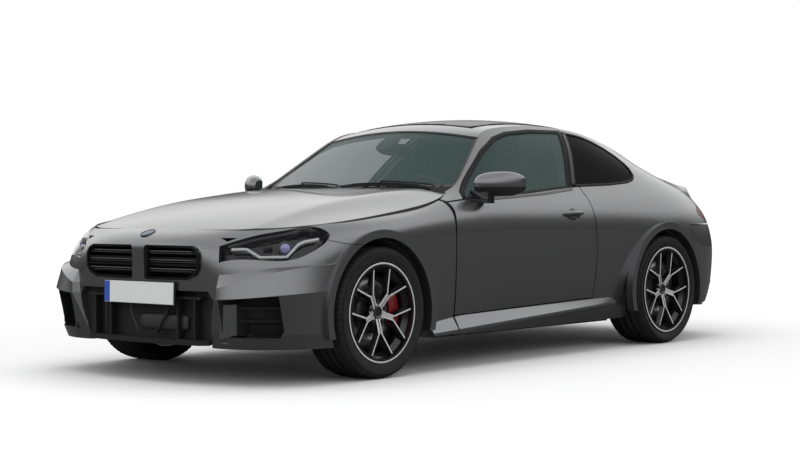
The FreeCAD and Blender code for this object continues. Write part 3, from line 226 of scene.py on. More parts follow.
dark_metal = surface("dark_metal", (.07, .07, .075), .42, .9, grain=(.0012, .00008))
cast_metal = surface("cast_metal", (.2, .2, .205), .55, .9, grain=(.002, .0003))
underseal = surface("underseal", (.02, .02, .021), .7, grain=(.003, .0004))
caliper_red = surface("caliper_red", (.17, .008, .012), .3, Coat_Weight=.5, Coat_Roughness=.1)
mirror_silver = surface("mirror_silver", (.85, .86, .87), .03, 1.0, mottle=.01)
leather = surface("leather", (.022, .022, .023), .46, cells=(.0021, .0002), grain=(.0006, .00004))
leather_blue = surface("leather_blue", (.03, .07, .16), .46, cells=(.0021, .0002))
leather_red = surface("leather_red", (.30, .03, .035), .46, cells=(.0021, .0002))
soft_plastic = surface("soft_plastic", (.028, .028, .03), .55, cells=(.0013, .00012))
lining = surface("lining", (.052, .052, .055), .95, grain=(.0018, .0003), Sheen_Weight=.4)
carpet = surface("carpet", (.018, .018, .019), .98, grain=(.0028, .0012), Sheen_Weight=.3)
screen_black = surface("screen_black", (.004, .004, .006), .06, mottle=.02)
plate_white = surface("plate_white", (.60, .61, .61), .38, mottle=.02, cells=(.0016, .00003))
plate_blue = surface("plate_blue", (.02, .07, .36), .4, mottle=.03, cells=(.0016, .00003))
tail_red = surface("tail_red", (.20, .004, .008), .1, mottle=.05, Coat_Weight=1.0)
tail_bright = surface("tail_bright", (.5, .02, .03), .25, mottle=.05)
lamp_grey = surface("lamp_grey", (.58, .59, .62), .32, .1, mottle=.03)
lamp_grey_dark = surface("lamp_grey_dark", (.10, .10, .11), .3, .5, mottle=.05)
projector_glass = surface("projector_glass", (.36, .34, .66), .06, .35, mottle=.1, Coat_Weight=1.0)
red_glass = tinted("red_glass", (.16, .004, .008), .55)
tail_glow = surface("tail_glow", (.62, .05, .05), .3, mottle=.05)
slat_bright = surface("slat_bright", (.10, .10, .103), .3, .4, mottle=.05)
slat_grey = surface("slat_grey", (.022, .022, .023), .35, .3, mottle=.05)
badge_face = surface("badge_face", (.05, .09, .17), .3, .2, mottle=.3, Coat_Weight=.3)
liner_black = surface("liner_black", (.010, .010, .010), .85, grain=(.0022, .0003))
frit_black = surface("frit_black", (.004, .004, .004), .2, mottle=.02, Specular_IOR_Level=.2)
# Body paint darkened for the recess behind the door handle: painted shade.
cup_painted_shade = paint("cup_painted_shade", (.09, .092, .096))
thread_grey = surface("thread_grey", (.16, .16, .165), .7, grain=(.0006, .0002))
pale_lining = surface("pale_lining", (.20, .205, .20), .92, grain=(.0018, .0003), Sheen_Weight=.3)
duct_grey = surface("duct_grey", (.030, .030, .031), .5, mottle=.15)
bottle_plastic = surface("bottle_plastic", (.30, .31, .30), .5, mottle=.08)
belt_web = surface("belt_web", (.03, .03, .032), .6, grain=(.0012, .0003))


def hub_distance(mat, name):
    """Distance from the axis of the wheel in which a rim turns, as a share of its radius."""
    low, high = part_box(name)
    squares = []
    for axis, centre in ((1, (low.y + high.y) / 2), (2, (low.z + high.z) / 2)):
        offset = math_socket(mat, "SUBTRACT", axis_socket(mat, axis), centre)
        squares.append(math_socket(mat, "MULTIPLY", offset, offset))
    reach = math_socket(mat, "SQRT", math_socket(mat, "ADD", *squares))
    return math_socket(mat, "DIVIDE", reach, (high.z - low.z) / 2)


# Rims: dark, with bright machined faces on the spokes and at the edge.
wheel_alloy = surface("wheel_alloy", (.009, .009, .010), .2, .25, Coat_Weight=.5,
                      Coat_Roughness=.06)
outward = math_socket(wheel_alloy, "ABSOLUTE", axis_socket(wheel_alloy, 0, "Normal"))
reach = math_socket(wheel_alloy, "MINIMUM", hub_distance(wheel_alloy, "rim_front_left"),
                    hub_distance(wheel_alloy, "rim_rear_left"))
inside_lip = math_socket(wheel_alloy, "LESS_THAN", reach, .885)
at_edge = math_socket(wheel_alloy, "GREATER_THAN", reach, .968)
bright = math_socket(wheel_alloy, "MULTIPLY", over(wheel_alloy, outward, .955, .975),
                     math_socket(wheel_alloy, "ADD", inside_lip, at_edge))
two_tone(wheel_alloy, bright, (.66, .66, .67), .30, .35)

# Mirrors: painted cap over a black lower half.
mirror_shell = paint("mirror_shell", body_grey)
mirror_low, mirror_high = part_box("door_mirror_left")
mirror_line = mirror_low.z + (mirror_high.z - mirror_low.z) * .52
below = math_socket(mirror_shell, "SUBTRACT", mirror_line, axis_socket(mirror_shell, 2))
two_tone(mirror_shell, over(mirror_shell, below, -.0005, .0005), (.008, .008, .009), .15, 0.0)

node_materials = {
    "front_bumper": body_paint, "hood": body_paint, "fender": body_paint, "door": body_paint,
    "side_frame": body_paint, "roof": body_paint, "trunk_lid": body_paint,
    "rear_bumper": body_paint, "door_glass": clear_glass, "windscreen": clear_glass,
    "rear_window": tint_glass, "quarter_glass": tint_glass, "door_mirror": mirror_shell,
    "kidney_grille": grille_black, "lower_trim": satin_black, "headlamp": black_and_painted_shade,
    "tail_lamp": tail_red, "diffuser": satin_black, "dashboard": soft_plastic,
    "steering_wheel": leather, "seat": leather, "rear_bench": leather, "engine_block": cast_metal,
    "knuckle": cast_metal, "rear_axle": cast_metal, "floor": underseal, "tyre": tyre_rubber,
    "rim": wheel_alloy,
}
for name in nodes:
    stem = max((key for key in node_materials if name.startswith(key)), key=len)
    nodes[name].data.materials.clear()
    nodes[name].data.materials.append(node_materials[stem])


# Camera of the photograph, and the pixel in its middle row and column.

camera_place = Vector((6.5661, -7.9681, .9164))
camera_lens, camera_sensor = 76.49, 36.0
middle_pixel = (400, 227)
camera_reach = 800 * camera_lens / camera_sensor


def camera_turn():
    azimuth, elevation, roll = math.radians(40.25), math.radians(.96), math.radians(-.17)
    back = Vector((math.sin(azimuth) * math.cos(elevation),
                   -math.cos(azimuth) * math.cos(elevation), math.sin(elevation)))
    level = Vector((math.cos(azimuth), math.sin(azimuth), 0))
    rise = back.cross(level)
    right = level * math.cos(roll) + rise * math.sin(roll)
    return right, rise * math.cos(roll) - level * math.sin(roll), back


camera_axes = camera_turn()


# Mesh helpers. Every piece is built in place, in the frame of the car.

def add_piece(name, made, mat, body="chassis", slot="dark_trim", smooth=True, thickness=0.0,
              bevel=0.0, subdivide=0):
    """Piece from its (places, faces), riding on a body of the part."""
    verts, faces = made
    mesh = bpy.data.meshes.new(name)
    mesh.from_pydata([tuple(v) for v in verts], [], faces)
    mesh.validate()
    obj = bpy.data.objects.new(name, mesh)
    scene.collection.objects.link(obj)
    mesh.materials.append(mat)
    work = bmesh.new()
    work.from_mesh(mesh)
    bmesh.ops.recalc_face_normals(work, faces=work.faces)
    work.to_mesh(mesh)
    work.free()
    for polygon in mesh.polygons:
        polygon.use_smooth = smooth
    if thickness:
        modifier = obj.modifiers.new("thickness", "SOLIDIFY")
        modifier.thickness = thickness
        modifier.offset = 0
    if bevel:
        modifier = obj.modifiers.new("bevel", "BEVEL")
        modifier.width = bevel
        modifier.segments = 2
        modifier.limit_method = "ANGLE"
    if subdivide:
        modifier = obj.modifiers.new("subdivide", "SUBSURF")
        modifier.levels = modifier.render_levels = subdivide
    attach(obj, body)
    return obj


def mirrored(points, side):
    return [Vector((p[0] * side, p[1], p[2])) for p in points]


def spaced(first, last, count):
    return [first + (last - first) * step / (count - 1) for step in range(count)]


def circle(steps, wide=1.0, tall=1.0):
    """Cosine and sine around a turn; powers below 1 square the outline."""
    turns = [2 * math.pi * step / steps for step in range(steps)]
    return [(math.copysign(abs(math.cos(t)) ** wide, math.cos(t)),
             math.copysign(abs(math.sin(t)) ** tall, math.sin(t))) for t in turns]


def grid_faces(rows, count, closed_rows, closed_columns):
    """Faces between rows of count places each."""
    faces = []
    for row in range(rows if closed_rows else rows - 1):
        following = (row + 1) % rows
        for step in range(count if closed_columns else count - 1):
            after = (step + 1) % count
            faces.append((row * count + step, row * count + after, following * count + after,
                          following * count + step))
    return faces


def loft(rings, closed=True, caps=True):
    count = len(rings[0])
    faces = grid_faces(len(rings), count, False, closed)
    if caps:
        faces.append(tuple(range(count)))
        faces.append(tuple(range((len(rings) - 1) * count, len(rings) * count)))
    return [v for ring in rings for v in ring], faces


def lathe(profile, centre, axis, steps, close=False):
    """Rings of a profile of (place along the axis, radius) points."""
    centre = Vector(centre)
    axis = axis.normalized()
    first = axis.orthogonal().normalized()
    second = axis.cross(first)
    verts = []
    for wide, tall in circle(steps):
        out = first * wide + second * tall
        verts += [centre + axis * along + out * radius for along, radius in profile]
    return verts, grid_faces(steps, len(profile), True, close)


def sweep(points, width, depth, around=8, closed=False, up=(.01, .02, 1)):
    """Tube with an oval or square section along a line of points."""
    points = [Vector(p) for p in points]
    count = len(points)
    rings = []
    for index, point in enumerate(points):
        before = points[index - 1] if closed or index else point
        after = points[(index + 1) % count] if closed or index < count - 1 else point
        run = (after - before).normalized()
        across = run.cross(Vector(up))
        if across.length < .01:
            across = run.cross(Vector((0, 1, .1)))
        across.normalize()
        rise = across.cross(run).normalized()
        turns = [2 * math.pi * (step + .5) / around for step in range(around)]
        rings.append([point + across * math.cos(t) * width + rise * math.sin(t) * depth
                      for t in turns])
    if not closed:
        return loft(rings)
    return [v for ring in rings for v in ring], grid_faces(count, around, True, True)


def curve_through(points, steps):
    """Smooth line through given points."""
    points = [Vector(p) for p in points]
    line = []
    for index in range(len(points) - 1):
        a, b, c = points[max(index - 1, 0)], points[index], points[index + 1]
        d = points[min(index + 2, len(points) - 1)]
        for step in range(steps):
            t = step / steps
            line.append(.5 * (2 * b + (c - a) * t + (2 * a - 5 * b + 4 * c - d) * t ** 2
                              + (3 * b - a - 3 * c + d) * t ** 3))
    return line + [points[-1]]


def box_rings(low, high, taper):
    """Block between two corners, narrower towards its top by the taper."""
    (x0, y0, z0), (x1, y1, z1) = low, high
    x, y = (x0 + x1) / 2, (y0 + y1) / 2
    return [[Vector((x + (cx - x) * scale, y + (cy - y) * scale, z))
             for cx, cy in ((x0, y0), (x1, y0), (x1, y1), (x0, y1))]
            for z, scale in ((z0, 1), (z1, taper))]


def tube(name, points, width, depth, mat, body="chassis", slot="dark_trim", smoothing=0,
         around=8, closed=False, up=(.01, .02, 1), **finish):
    """Sweep along a line; smoothing is the number of steps from each point to the next."""
    line = curve_through(points, smoothing) if smoothing else points
    add_piece(name, sweep(line, width, depth, around, closed, up), mat, body, slot, **finish)


def turned(name, profile, centre, axis, steps, mat, body="chassis", slot="dark_trim",
           close=False, **finish):
    add_piece(name, lathe(profile, centre, axis, steps, close), mat, body, slot, **finish)


def slab(name, corners, depth, normal, mat, body="chassis", slot="dark_trim", bevel=.003):
    """Plate between given corners, with a thickness behind them."""
    front = [Vector(c) for c in corners]
    back = [c - Vector(normal).normalized() * depth for c in front]
    add_piece(name, loft([front, back]), mat, body, slot, smooth=False, bevel=bevel)


def outer_faces(name, facing, threshold):
    """Copy of the faces of a node that look one way, with doubled points joined."""
    work = bmesh.new()
    work.from_mesh(nodes[name].data)
    bmesh.ops.remove_doubles(work, verts=work.verts, dist=.00005)
    facing = Vector(facing).normalized()
    hidden = [f for f in work.faces if f.normal.dot(facing) < threshold]
    bmesh.ops.delete(work, geom=hidden, context="FACES")
    islands = []
    left = dict.fromkeys(work.faces)  # Dicts keep their order, so each run takes the same way.
    while left:
        edge = [left.popitem()[0]]
        group = dict.fromkeys(edge)
        while edge:
            face = edge.pop()
            for side in face.edges:
                for other in side.link_faces:
                    if other in left:
                        del left[other]
                        group[other] = None
                        edge.append(other)
        islands.append(group)
    keep = max(islands, key=lambda g: sum(f.calc_area() for f in g))
    spare = [f for f in work.faces if f not in keep]
    bmesh.ops.delete(work, geom=spare, context="FACES")
    return work


def sheet_of(work):
    """Places, normals and faces of a mesh that isn't needed after this."""
    work.normal_update()
    work.verts.index_update()
    verts = [v.co.copy() for v in work.verts]
    normals = [v.normal.copy() for v in work.verts]
    faces = [tuple(v.index for v in f.verts) for f in work.faces]
    work.free()
    return verts, normals, faces


def border_loop(work, step):
    """The longest border walked at even steps, as places with their normals."""
    edges = dict.fromkeys(e for e in work.edges if e.is_boundary)
    loops = []
    while edges:
        start = edges.popitem()[0]
        chain = [start.verts[0], start.verts[1]]
        grown = True
        while grown:
            grown = False
            for e in chain[-1].link_edges:
                if e in edges:
                    del edges[e]
                    chain.append(e.other_vert(chain[-1]))
                    grown = True
                    break
        loops.append(chain[:-1] if chain[0] == chain[-1] else chain)
    work.normal_update()
    longest = max(loops, key=lambda c: sum((a.co - b.co).length for a, b in zip(c, c[1:])))
    made = []
    total = 0.0
    for a, b in zip(longest, longest[1:] + longest[:1]):
        run = (b.co - a.co).length
        while total < run:
            t = total / run
            made.append((a.co.lerp(b.co, t), a.normal.lerp(b.normal, t).normalized()))
            total += step
        total -= run
    return made


def border_band(name, node_name, facing, inner, outer, lift, mat, body, threshold=.3, step=.012):
    """Band along the border of a node's outer face, from inner (-) to outer (+) of its edge."""
    work = outer_faces(node_name, facing, threshold)
    loop = border_loop(work, step)
    work.free()
    centre = sum((p for p, n in loop), Vector()) / len(loop)
    turning = sum((loop[index - 1][0] - centre).cross(loop[index][0] - centre).dot(Vector(facing))
                  for index in range(len(loop)))
    sign = 1 if turning > 0 else -1
    rings = []
    for index, (point, normal) in enumerate(loop):
        run = loop[(index + 2) % len(loop)][0] - loop[index - 2][0]
        out = run.cross(normal).normalized() * sign
        rings += [point + out * inner + normal * lift, point + out * outer + normal * lift]
    add_piece(name, (rings, grid_faces(len(loop), 2, True, False)), mat, body, thickness=.0012)


def within(**ranges):
    """Planes that keep what lies between two values of x, y or z."""
    planes = []
    for axis, (low, high) in ranges.items():
        line = Vector([float(axis == name) for name in "xyz"])
        planes += [(line * value, line * sign) for value, sign in ((low, 1), (high, -1))
                   if value is not None]
    return planes


def skin_piece(name, node_name, facing, planes, lift, mat, body="chassis", threshold=.3,
               thickness=.001, slot="dark_trim"):
    """Sheet over part of a node's outer face; planes are (point, direction kept)."""
    work = outer_faces(node_name, facing, threshold)
    for point, direction in planes:
        bmesh.ops.bisect_plane(work, geom=work.verts[:] + work.edges[:] + work.faces[:],
                               plane_co=point, plane_no=direction, clear_inner=True)
    verts, normals, faces = sheet_of(work)
    lifted = [p + n * lift for p, n in zip(verts, normals)]
    add_piece(name, (lifted, faces), mat, body, slot, thickness=thickness)


# Places on the bodywork, found by rays through the solids.

trees = {}


def tree_of(name):
    if name not in trees:
        mesh = nodes[name].data
        trees[name] = BVHTree.FromPolygons(
            [v.co.copy() for v in mesh.vertices], [tuple(p.vertices) for p in mesh.polygons])
    return trees[name]


def hit(names, start, line):
    """Nearest place and normal where a ray meets one of the solids."""
    line = Vector(line).normalized()
    best = None
    for name in names:
        place, normal, index, reach = tree_of(name).ray_cast(Vector(start), line)
        if place is not None and (best is None or reach < best[2]):
            best = (place, -normal if normal.dot(line) > 0 else normal, reach)
    return best[:2] if best else None


def on_side(names, y, z):
    return hit(names, (1.4, y, z), (-1, 0, 0))


def on_top(names, x, y):
    return hit(names, (x, y, 1.8), (0, 0, -1))


def on_rear(names, x, z):
    return hit(names, (x, 3, z), (0, -1, 0))


def below_roof(names, x, y):
    return hit(names, (x, y, .9), (0, 0, 1))


def seen(names, pixel):
    """Place and normal on the solids behind a pixel of the photograph, from the camera."""
    right, rise, back = camera_axes
    line = (right * (pixel[0] - middle_pixel[0]) / camera_reach
            + rise * (middle_pixel[1] - pixel[1]) / camera_reach - back)
    return hit(names, camera_place, line)


def strip_on(name, spots, width, lift, depth, mat, body="chassis", slot="dark_trim", side=1):
    """Flat strip that follows places on the bodywork, each given with its normal."""
    line = curve_through([p + n * lift for p, n in spots], 8)
    normals = curve_through([n for p, n in spots], 8)
    rings = []
    for index, point in enumerate(line):
        run = (line[min(index + 1, len(line) - 1)] - line[max(index - 1, 0)]).normalized()
        normal = normals[index].normalized()
        out = run.cross(normal).normalized() * (width / 2)
        deep = normal * (depth / 2)
        rings.append(mirrored([point + out - deep, point + out * .9 + deep,
                               point - out * .9 + deep, point - out - deep], side))
    add_piece(name, loft(rings), mat, body, slot, smooth=False, bevel=min(width, depth) / 6)


# Lamps: a clear or red lens in the outline of the solid, a dark bucket behind it and its parts.

lamp_facings = {"headlamp": Vector((.45, -.8, .25)), "tail_lamp": Vector((.35, .9, .15))}
drl_pixels = ((230.4, 247.9), (246.0, 247.6), (259.4, 256.4), (287.0, 256.0), (299.0, 242.8),
              (305.0, 240.2), (320.0, 237.8))
inner_rib_pixels = (((232, 251), (250, 251.6)), ((233, 254.2), (253.5, 254.8)),
                    ((234, 257.4), (257, 257.8)))
projector_pixels = ((285.2, 245.6), (266.5, 243.8))
lamp_depth = .034


def lamp_shell(stem, side_name, side, lens_mat, bucket_mat, depth, slot):
    name = "%s_%s" % (stem, side_name)
    work = outer_faces(name, mirrored([lamp_facings[stem]], side)[0], .05)
    border = border_loop(work, .008)
    verts, normals, faces = sheet_of(work)
    lens = add_piece(name + "_lens", ([p - n * .0008 for p, n in zip(verts, normals)], faces),
                     lens_mat, slot=slot, thickness=.0025)
    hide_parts(name)
    add_piece(name + "_bucket", ([p - n * depth for p, n in zip(verts, normals)], faces),
              bucket_mat, slot=slot, thickness=.002)
    walls = [p - n * .003 for p, n in border] + [p - n * depth for p, n in border]
    add_piece(name + "_surround", (walls, grid_faces(2, len(border), False, True)), bucket_mat,
              slot=slot, thickness=.003)


def headlamp_parts(side_name, side):
    def inside(pixel, depth):
        place, normal = seen(("headlamp_left",), pixel)
        return place - normal * depth, normal

    slot = "lamp_lens"
    lamp_shell("headlamp", side_name, side, lens_glass, gloss_black, lamp_depth + .012, slot)
    line = [inside(pixel, lamp_depth * .45)[0] for pixel in drl_pixels]
    normal = inside(drl_pixels[3], 0)[1]
    bracket = []
    for index, point in enumerate(line):
        before = (point - line[max(index - 1, 0)]).normalized()
        after = (line[min(index + 1, len(line) - 1)] - point).normalized()
        out = (before + after).cross(normal).normalized() * .0055
        deep = normal * .006
        bracket.append(mirrored([point + out + deep, point - out + deep, point - out * 1.5 - deep,
                                 point + out * 1.5 - deep], side))
    add_piece("daylight_bracket_" + side_name, loft(bracket), lamp_grey, slot=slot, smooth=False,
              bevel=.0012)
    for index, ends_of in enumerate(inner_rib_pixels):
        rib = [inside(pixel, lamp_depth * .6)[0] for pixel in ends_of]
        tube("lamp_rib_%d_%s" % (index, side_name), mirrored(rib, side), .0018, .003,
             lamp_grey_dark, slot=slot, around=4, smooth=False)
    for index, (pixel, size, mat, ring_mat) in enumerate((
            (projector_pixels[0], .025, projector_glass, lamp_grey_dark),
            (projector_pixels[1], .016, lens_glass, gloss_black))):
        centre, normal = inside(pixel, lamp_depth * .8)
        line = Vector((normal.x * side, normal.y, normal.z * .2))
        centre = mirrored([centre], side)[0]
        dome = [(size * (.15 + .55 * math.cos(a)), size * math.sin(a))
                for a in [math.pi / 2 * step / 10 for step in range(10, -1, -1)]]
        turned("projector_%d_%s" % (index, side_name), dome, centre, line, 48, mat, slot=slot)
        ring = [(-.01, size * 1.05), (size * .2, size * 1.05), (size * .3, size * 1.2),
                (size * .1, size * 1.42), (-.01, size * 1.42)]
        turned("projector_ring_%d_%s" % (index, side_name), ring, centre, line, 48, ring_mat,
               slot=slot, close=True)


def tail_lamp_parts(side_name, side):
    lamp_shell("tail_lamp", side_name, side, red_glass, black_and_painted_shade, .04, "tail_lens")
    low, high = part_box("tail_lamp_left")
    middle_z = (low.z + high.z) / 2
    for bar, (rise, mat) in enumerate(((.022, tail_bright), (-.018, tail_glow))):
        found = [on_rear(("tail_lamp_left",), x, middle_z + rise)
                 for x in (.47, .53, .60, .67, .72)]
        spots = [spot[0] - spot[1] * .016 for spot in found if spot]
        if len(spots) > 2:
            tube("tail_bar_%d_%s" % (bar, side_name), mirrored(spots, side), .007, .009, mat,
                 slot="tail_lens", smoothing=6, around=6, smooth=False)


# Nose: number plate, grille slats, badge, parts inside the lower openings.

kidney_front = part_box("kidney_grille_left")[0].y
plate_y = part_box("front_bumper")[0].y + .001
plate_height, plate_edge, plate_tilt = .11, .002, .02


def number_plate(label, centre):
    """Blank plate in a dark holder, with a plain blue strip at the reader's left."""
    across = Vector((1, 0, 0))
    rise = Vector((0, math.sin(plate_tilt), math.cos(plate_tilt)))
    front = across.cross(rise)
    for part, start, end, tall, lift, depth, mat in (
            ("holder", -.265, .265, .119, .0, .006, satin_black),
            ("plate", -.26, .26, plate_height, .006, .006, plate_white),
            ("strip", -.258, -.216, plate_height - .004, .0115, .002, plate_blue)):
        rings = []
        for shift, inset in ((lift - depth, 0), (lift + depth * .4, 0), (lift + depth, plate_edge)):
            rings.append([centre + across * x + rise * z + front * shift for x, z in (
                (start + inset, inset - tall / 2), (end - inset, inset - tall / 2),
                (end - inset, tall / 2 - inset), (start + inset, tall / 2 - inset))])
        add_piece("%s_%s" % (label, part), loft(rings), mat, smooth=False, bevel=.0006)
    for side_name, side in reversed(sides):
        turned("%s_screw_%s" % (label, side_name),
               [(0, .006), (.0015, .006), (.003, .004), (.003, 0)],
               centre + across * .19 * side + front * .0085, front, 20, plate_white)


def kidney_parts(side_name, side):
    for index, z in enumerate((.6565, .613, .568)):
        for step, (drop, thin, mat) in enumerate(((0, .0015, slat_bright),
                                                  (-.011, .0011, slat_grey))):
            line = [(x * side, kidney_front + .004 + .25 * (x / .43) ** 4 * .04, z + drop)
                    for x in (.062, .16, .26, .36, .425 - .012 * (index == 2))]
            tube("kidney_slat_%d_%d_%s" % (index, step, side_name), line, thin, .003, mat,
                 slot="grille_black", smoothing=4, around=6, up=(0, 0, 1))


def badge_parts():
    names = ("hood", "front_bumper")
    centre, normal = on_top(names, 0, seen(names, (149.3, 233.0))[0].y)
    normal = Vector((0, normal.y, normal.z))
    rim = [(-.004, .041), (.002, .041), (.0042, .0385), (.0042, .0355), (.0024, .034)]
    turned("hood_badge_rim", rim, centre, normal, 64, dark_metal)
    face = [(.0024, .0345), (.0030, .022), (.0034, .010), (.0035, 0)]
    turned("hood_badge_face", face, centre, normal, 64, badge_face)


def intake_parts(side_name, side):
    """Painted wall and ledge inside the side opening of the nose, and its bars."""
    for label, corners, depth, normal in (
            ("intake_wall", ((.548, -2.222, .230), (.602, -2.160, .252), (.602, -2.160, .402),
                             (.552, -2.214, .400)), .006, (.74, -.67, 0)),
            ("intake_cheek", ((.602, -2.160, .246), (.604, -2.085, .244), (.604, -2.085, .400),
                              (.602, -2.160, .402)), .008, (1, 0, 0)),
            ("intake_ledge", ((.552, -2.216, .212), (.604, -2.085, .2430), (.775, -1.998, .2426),
                              (.822, -2.056, .2040)), .006, (0, -.3, .95))):
        slab("%s_%s" % (label, side_name), mirrored(corners, side), depth,
             mirrored([normal], side)[0], body_paint, slot="body_paint", bevel=.0015)
    for index, z in enumerate((.330, .293)):
        line = [(.606 * side, -2.092, z), (.70 * side, -2.052, z), (.776 * side, -2.002, z)]
        tube("intake_bar_%d_%s" % (index, side_name), line, .003, .002, slat_grey, smoothing=4,
             around=6)


def mouth_parts():
    """Duct and struts behind the central opening."""
    rings = [[Vector((x, -2.196 + .012 * wide * size, .300 + .038 * tall * size))
              for wide, tall in circle(20)]
             for x, size in ((-.06, .7), (-.03, 1), (.13, 1.05), (.27, 1), (.30, .8))]
    add_piece("mouth_duct", loft(rings), duct_grey)
    for index, (wide, points) in enumerate((
            (.016, ((.165, -2.212, .372), (.160, -2.214, .345), (.095, -2.214, .255),
                    (.085, -2.212, .240))),
            (.005, ((-.385, -2.212, .395), (-.385, -2.214, .32), (-.385, -2.212, .232))),
            (.005, ((-.300, -2.218, .395), (-.300, -2.220, .32), (-.300, -2.218, .232))))):
        tube("mouth_strut_%d" % index, points, wide, .004, duct_grey, smoothing=5)
    line = [(-.105, -2.222, .395), (-.098, -2.224, .34), (-.052, -2.224, .262),
            (-.048, -2.222, .235)]
    tube("mouth_line", line, .0022, .002, slat_bright, smoothing=5)


# Wheels: tyres with tread, brake discs, calipers, caps and bolts, and liners in the arches.

def tyre_mesh(centre, radius, width, rim_radius):
    """Ribbed tread with cross grooves in its outer ribs, and a sidewall with raised rings."""
    half = width / 2
    belly = (radius + rim_radius) / 2 + .012
    profile = [(x, rim_radius + r) for x, r in (
        (-.104, .002), (-.110, .011), (-.1125, .013), (-.117, .016), (-.122, .022))]
    profile += [(-half * share, belly + r) for share, r in (
        (.965, -.012), (.992, 0), (.985, .008), (.990, .0095), (.985, .011))]
    profile += [(-half * share, radius - r) for share, r in (
        (.962, .030), (.955, .027), (.955, .024), (.925, .016), (.885, .0085), (.83, .0035),
        (.72, .001), (.60, 0))]
    for edge in (.58, .22):
        profile += [(shift - half * edge, radius - r) for shift, r in (
            (0, 0), (.001, .0065), (.010, .0065), (.011, 0))]
    profile += [(-x, r) for x, r in reversed(profile)]
    steps = 288
    verts = []
    for step in range(steps):
        for x, r in profile:
            groove = step % 4 == 0 and abs(x) > half * .59 and r > radius - .02
            r -= .0055 * groove
            angle = 2 * math.pi * step / steps + (x * .09 if abs(x) < half * .58 else 0)
            verts.append(centre + Vector((x, r * math.sin(angle), r * math.cos(angle))))
    return verts, grid_faces(steps, len(profile), True, True)


def caliper_mesh(centre, x_low, x_high, inner, outer, start, end, side):
    """Block in the shape of an arc, with softened ends."""
    steps = 14
    rings = []
    for step in range(steps + 1):
        angle = start + (end - start) * step / steps
        soft = .004 if step in (0, steps) else 0
        out = Vector((0, math.cos(angle), math.sin(angle)))
        rings.append([centre + Vector((x * side, 0, 0)) + out * r for x, r in (
            (x_low + soft, inner), (x_high - soft, inner), (x_high - soft, outer - .012),
            (x_high - .010, outer), (x_low + .010, outer), (x_low + soft, outer - .012))])
    return loft(rings)


# Place across the car and radius of the brake discs; inner edge of the arch liners.
disc_places = {"front": (.833, .19), "rear": (.838, .182)}
liner_edges = {"front": .494, "rear": .655}
liner_radius = .377
cap_profile = [(-.002, .033), (.006, .033), (.0085, .030), (.0085, .026), (.0065, .025),
               (.0075, .015), (.0078, 0)]
bolt_profile = [(-.004, .0125), (.004, .0125), (.006, .0105), (.013, .0100), (.014, .0085),
                (.014, 0)]
hat_profile = [(.012, .112), (.018, .104), (.020, .075), (.020, .0), (.010, 0), (.010, .100)]


def wheel_parts(end, side_name, side):
    label = "%s_%s" % (end, side_name)
    body = "wheel_" + label
    iron = "axle_iron"
    front = end == "front"
    low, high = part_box("tyre_" + label)
    centre = (low + high) / 2
    rim_low, rim_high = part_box("rim_" + label)
    rim_radius = (rim_high.z - rim_low.z) / 2 - .013
    made = tyre_mesh(centre, (high.z - low.z) / 2, high.x - low.x, rim_radius)
    tyre = add_piece("tread_" + label, made, tyre_rubber, body, "tyre_rubber")
    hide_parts("tyre_" + label)
    out = Vector((side, 0, 0))
    face = abs(rim_high.x if side > 0 else rim_low.x)
    hub = Vector(((face - .04) * side, centre.y, centre.z))
    turned("wheel_cap_" + label, cap_profile, hub, out, 48, gloss_black, body, "wheel_alloy")
    for index, (wide, tall) in enumerate(circle(5)):
        turned("wheel_bolt_%d_%s" % (index, label), bolt_profile,
               hub + Vector((0, .056 * tall, .056 * wide)), out, 6, dark_metal, body,
               "wheel_alloy", smooth=False)
    disc_x, size = disc_places[end]
    disc = Vector((disc_x * side, centre.y, centre.z))
    profile = [(-.014, .108), (-.014, size), (-.006, size), (-.005, size - .012),
               (.005, size - .012), (.006, size), (.014, size), (.014, .108)]
    turned("brake_disc_" + label, profile, disc, out, 96, disc_steel, body, iron, close=True)
    turned("disc_hat_" + label, hat_profile, disc, out, 64, dark_metal, body, iron)
    # Flat near-black hexagons on the disc face: painted shade in place of the cross-drilled holes.
    holes = []
    for ring, r in enumerate((.128, .146, .164)):
        for index in range(24):
            turn = 2 * math.pi * (index + ring / 3) / 24
            place = disc + Vector((side * .0146, r * math.sin(turn), r * math.cos(turn)))
            holes += [place + Vector((0, .0032 * wide, .0032 * tall)) for wide, tall in circle(6)]
    faces = [tuple(range(start, start + 6)) for start in range(0, len(holes), 6)]
    add_piece("disc_hole_painted_shade_" + label, (holes, faces), black_and_painted_shade, body, iron, smooth=False,
              thickness=.0004)
    carrier = "knuckle_" + side_name if front else "chassis"
    mid, half_turn = (0, .52) if front else (math.pi, .42)
    for part, x_low, x_high, inner, outer in (
            ("inner", -.040, -.018, .120, .200), ("outer", .018, .036, .120, .200),
            ("bridge", -.040, .036, size + .004, .204)):
        made = caliper_mesh(Vector((0, centre.y, centre.z)), disc_x + x_low, disc_x + x_high,
                            inner, outer, mid - half_turn, mid + half_turn, side)
        add_piece("caliper_%s_%s" % (part, label), made, caliper_red if front else dark_metal,
                  carrier, iron, bevel=.002)


def knuckle_parts(side_name, side):
    """Upright and hub carrier in place of the plain knuckle."""
    body = "knuckle_" + side_name
    x = .80
    y, z = axles["front"]
    rings = [[Vector(((x - .004) * side + reach_x * wide, y + reach_y * tall, level))
              for wide, tall in circle(20)]
             for level, reach_x, reach_y in (
                 (.2065, .020, .022), (.235, .022, .025), (.28, .020, .032), (.337, .024, .050),
                 (.39, .018, .030), (.41, .016, .018))]
    upright = add_piece("upright_" + side_name, loft(rings), cast_metal, body, "axle_iron")
    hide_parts(body)
    hub = [(.0, .0), (.0, .060), (.018, .058), (.022, .040), (.040, .036), (.040, 0)]
    turned("hub_bearing_" + side_name, hub, (x * side, y, z), Vector((side, 0, 0)), 48,
           cast_metal, body, "axle_iron")
    arm = [((x - .01) * side, y + .02, z), ((x - .02) * side, y + .09, z + .01),
           (x * side, y + .135, z)]
    tube("caliper_arm_" + side_name, arm, .014, .022, cast_metal, body, "axle_iron", smoothing=6)


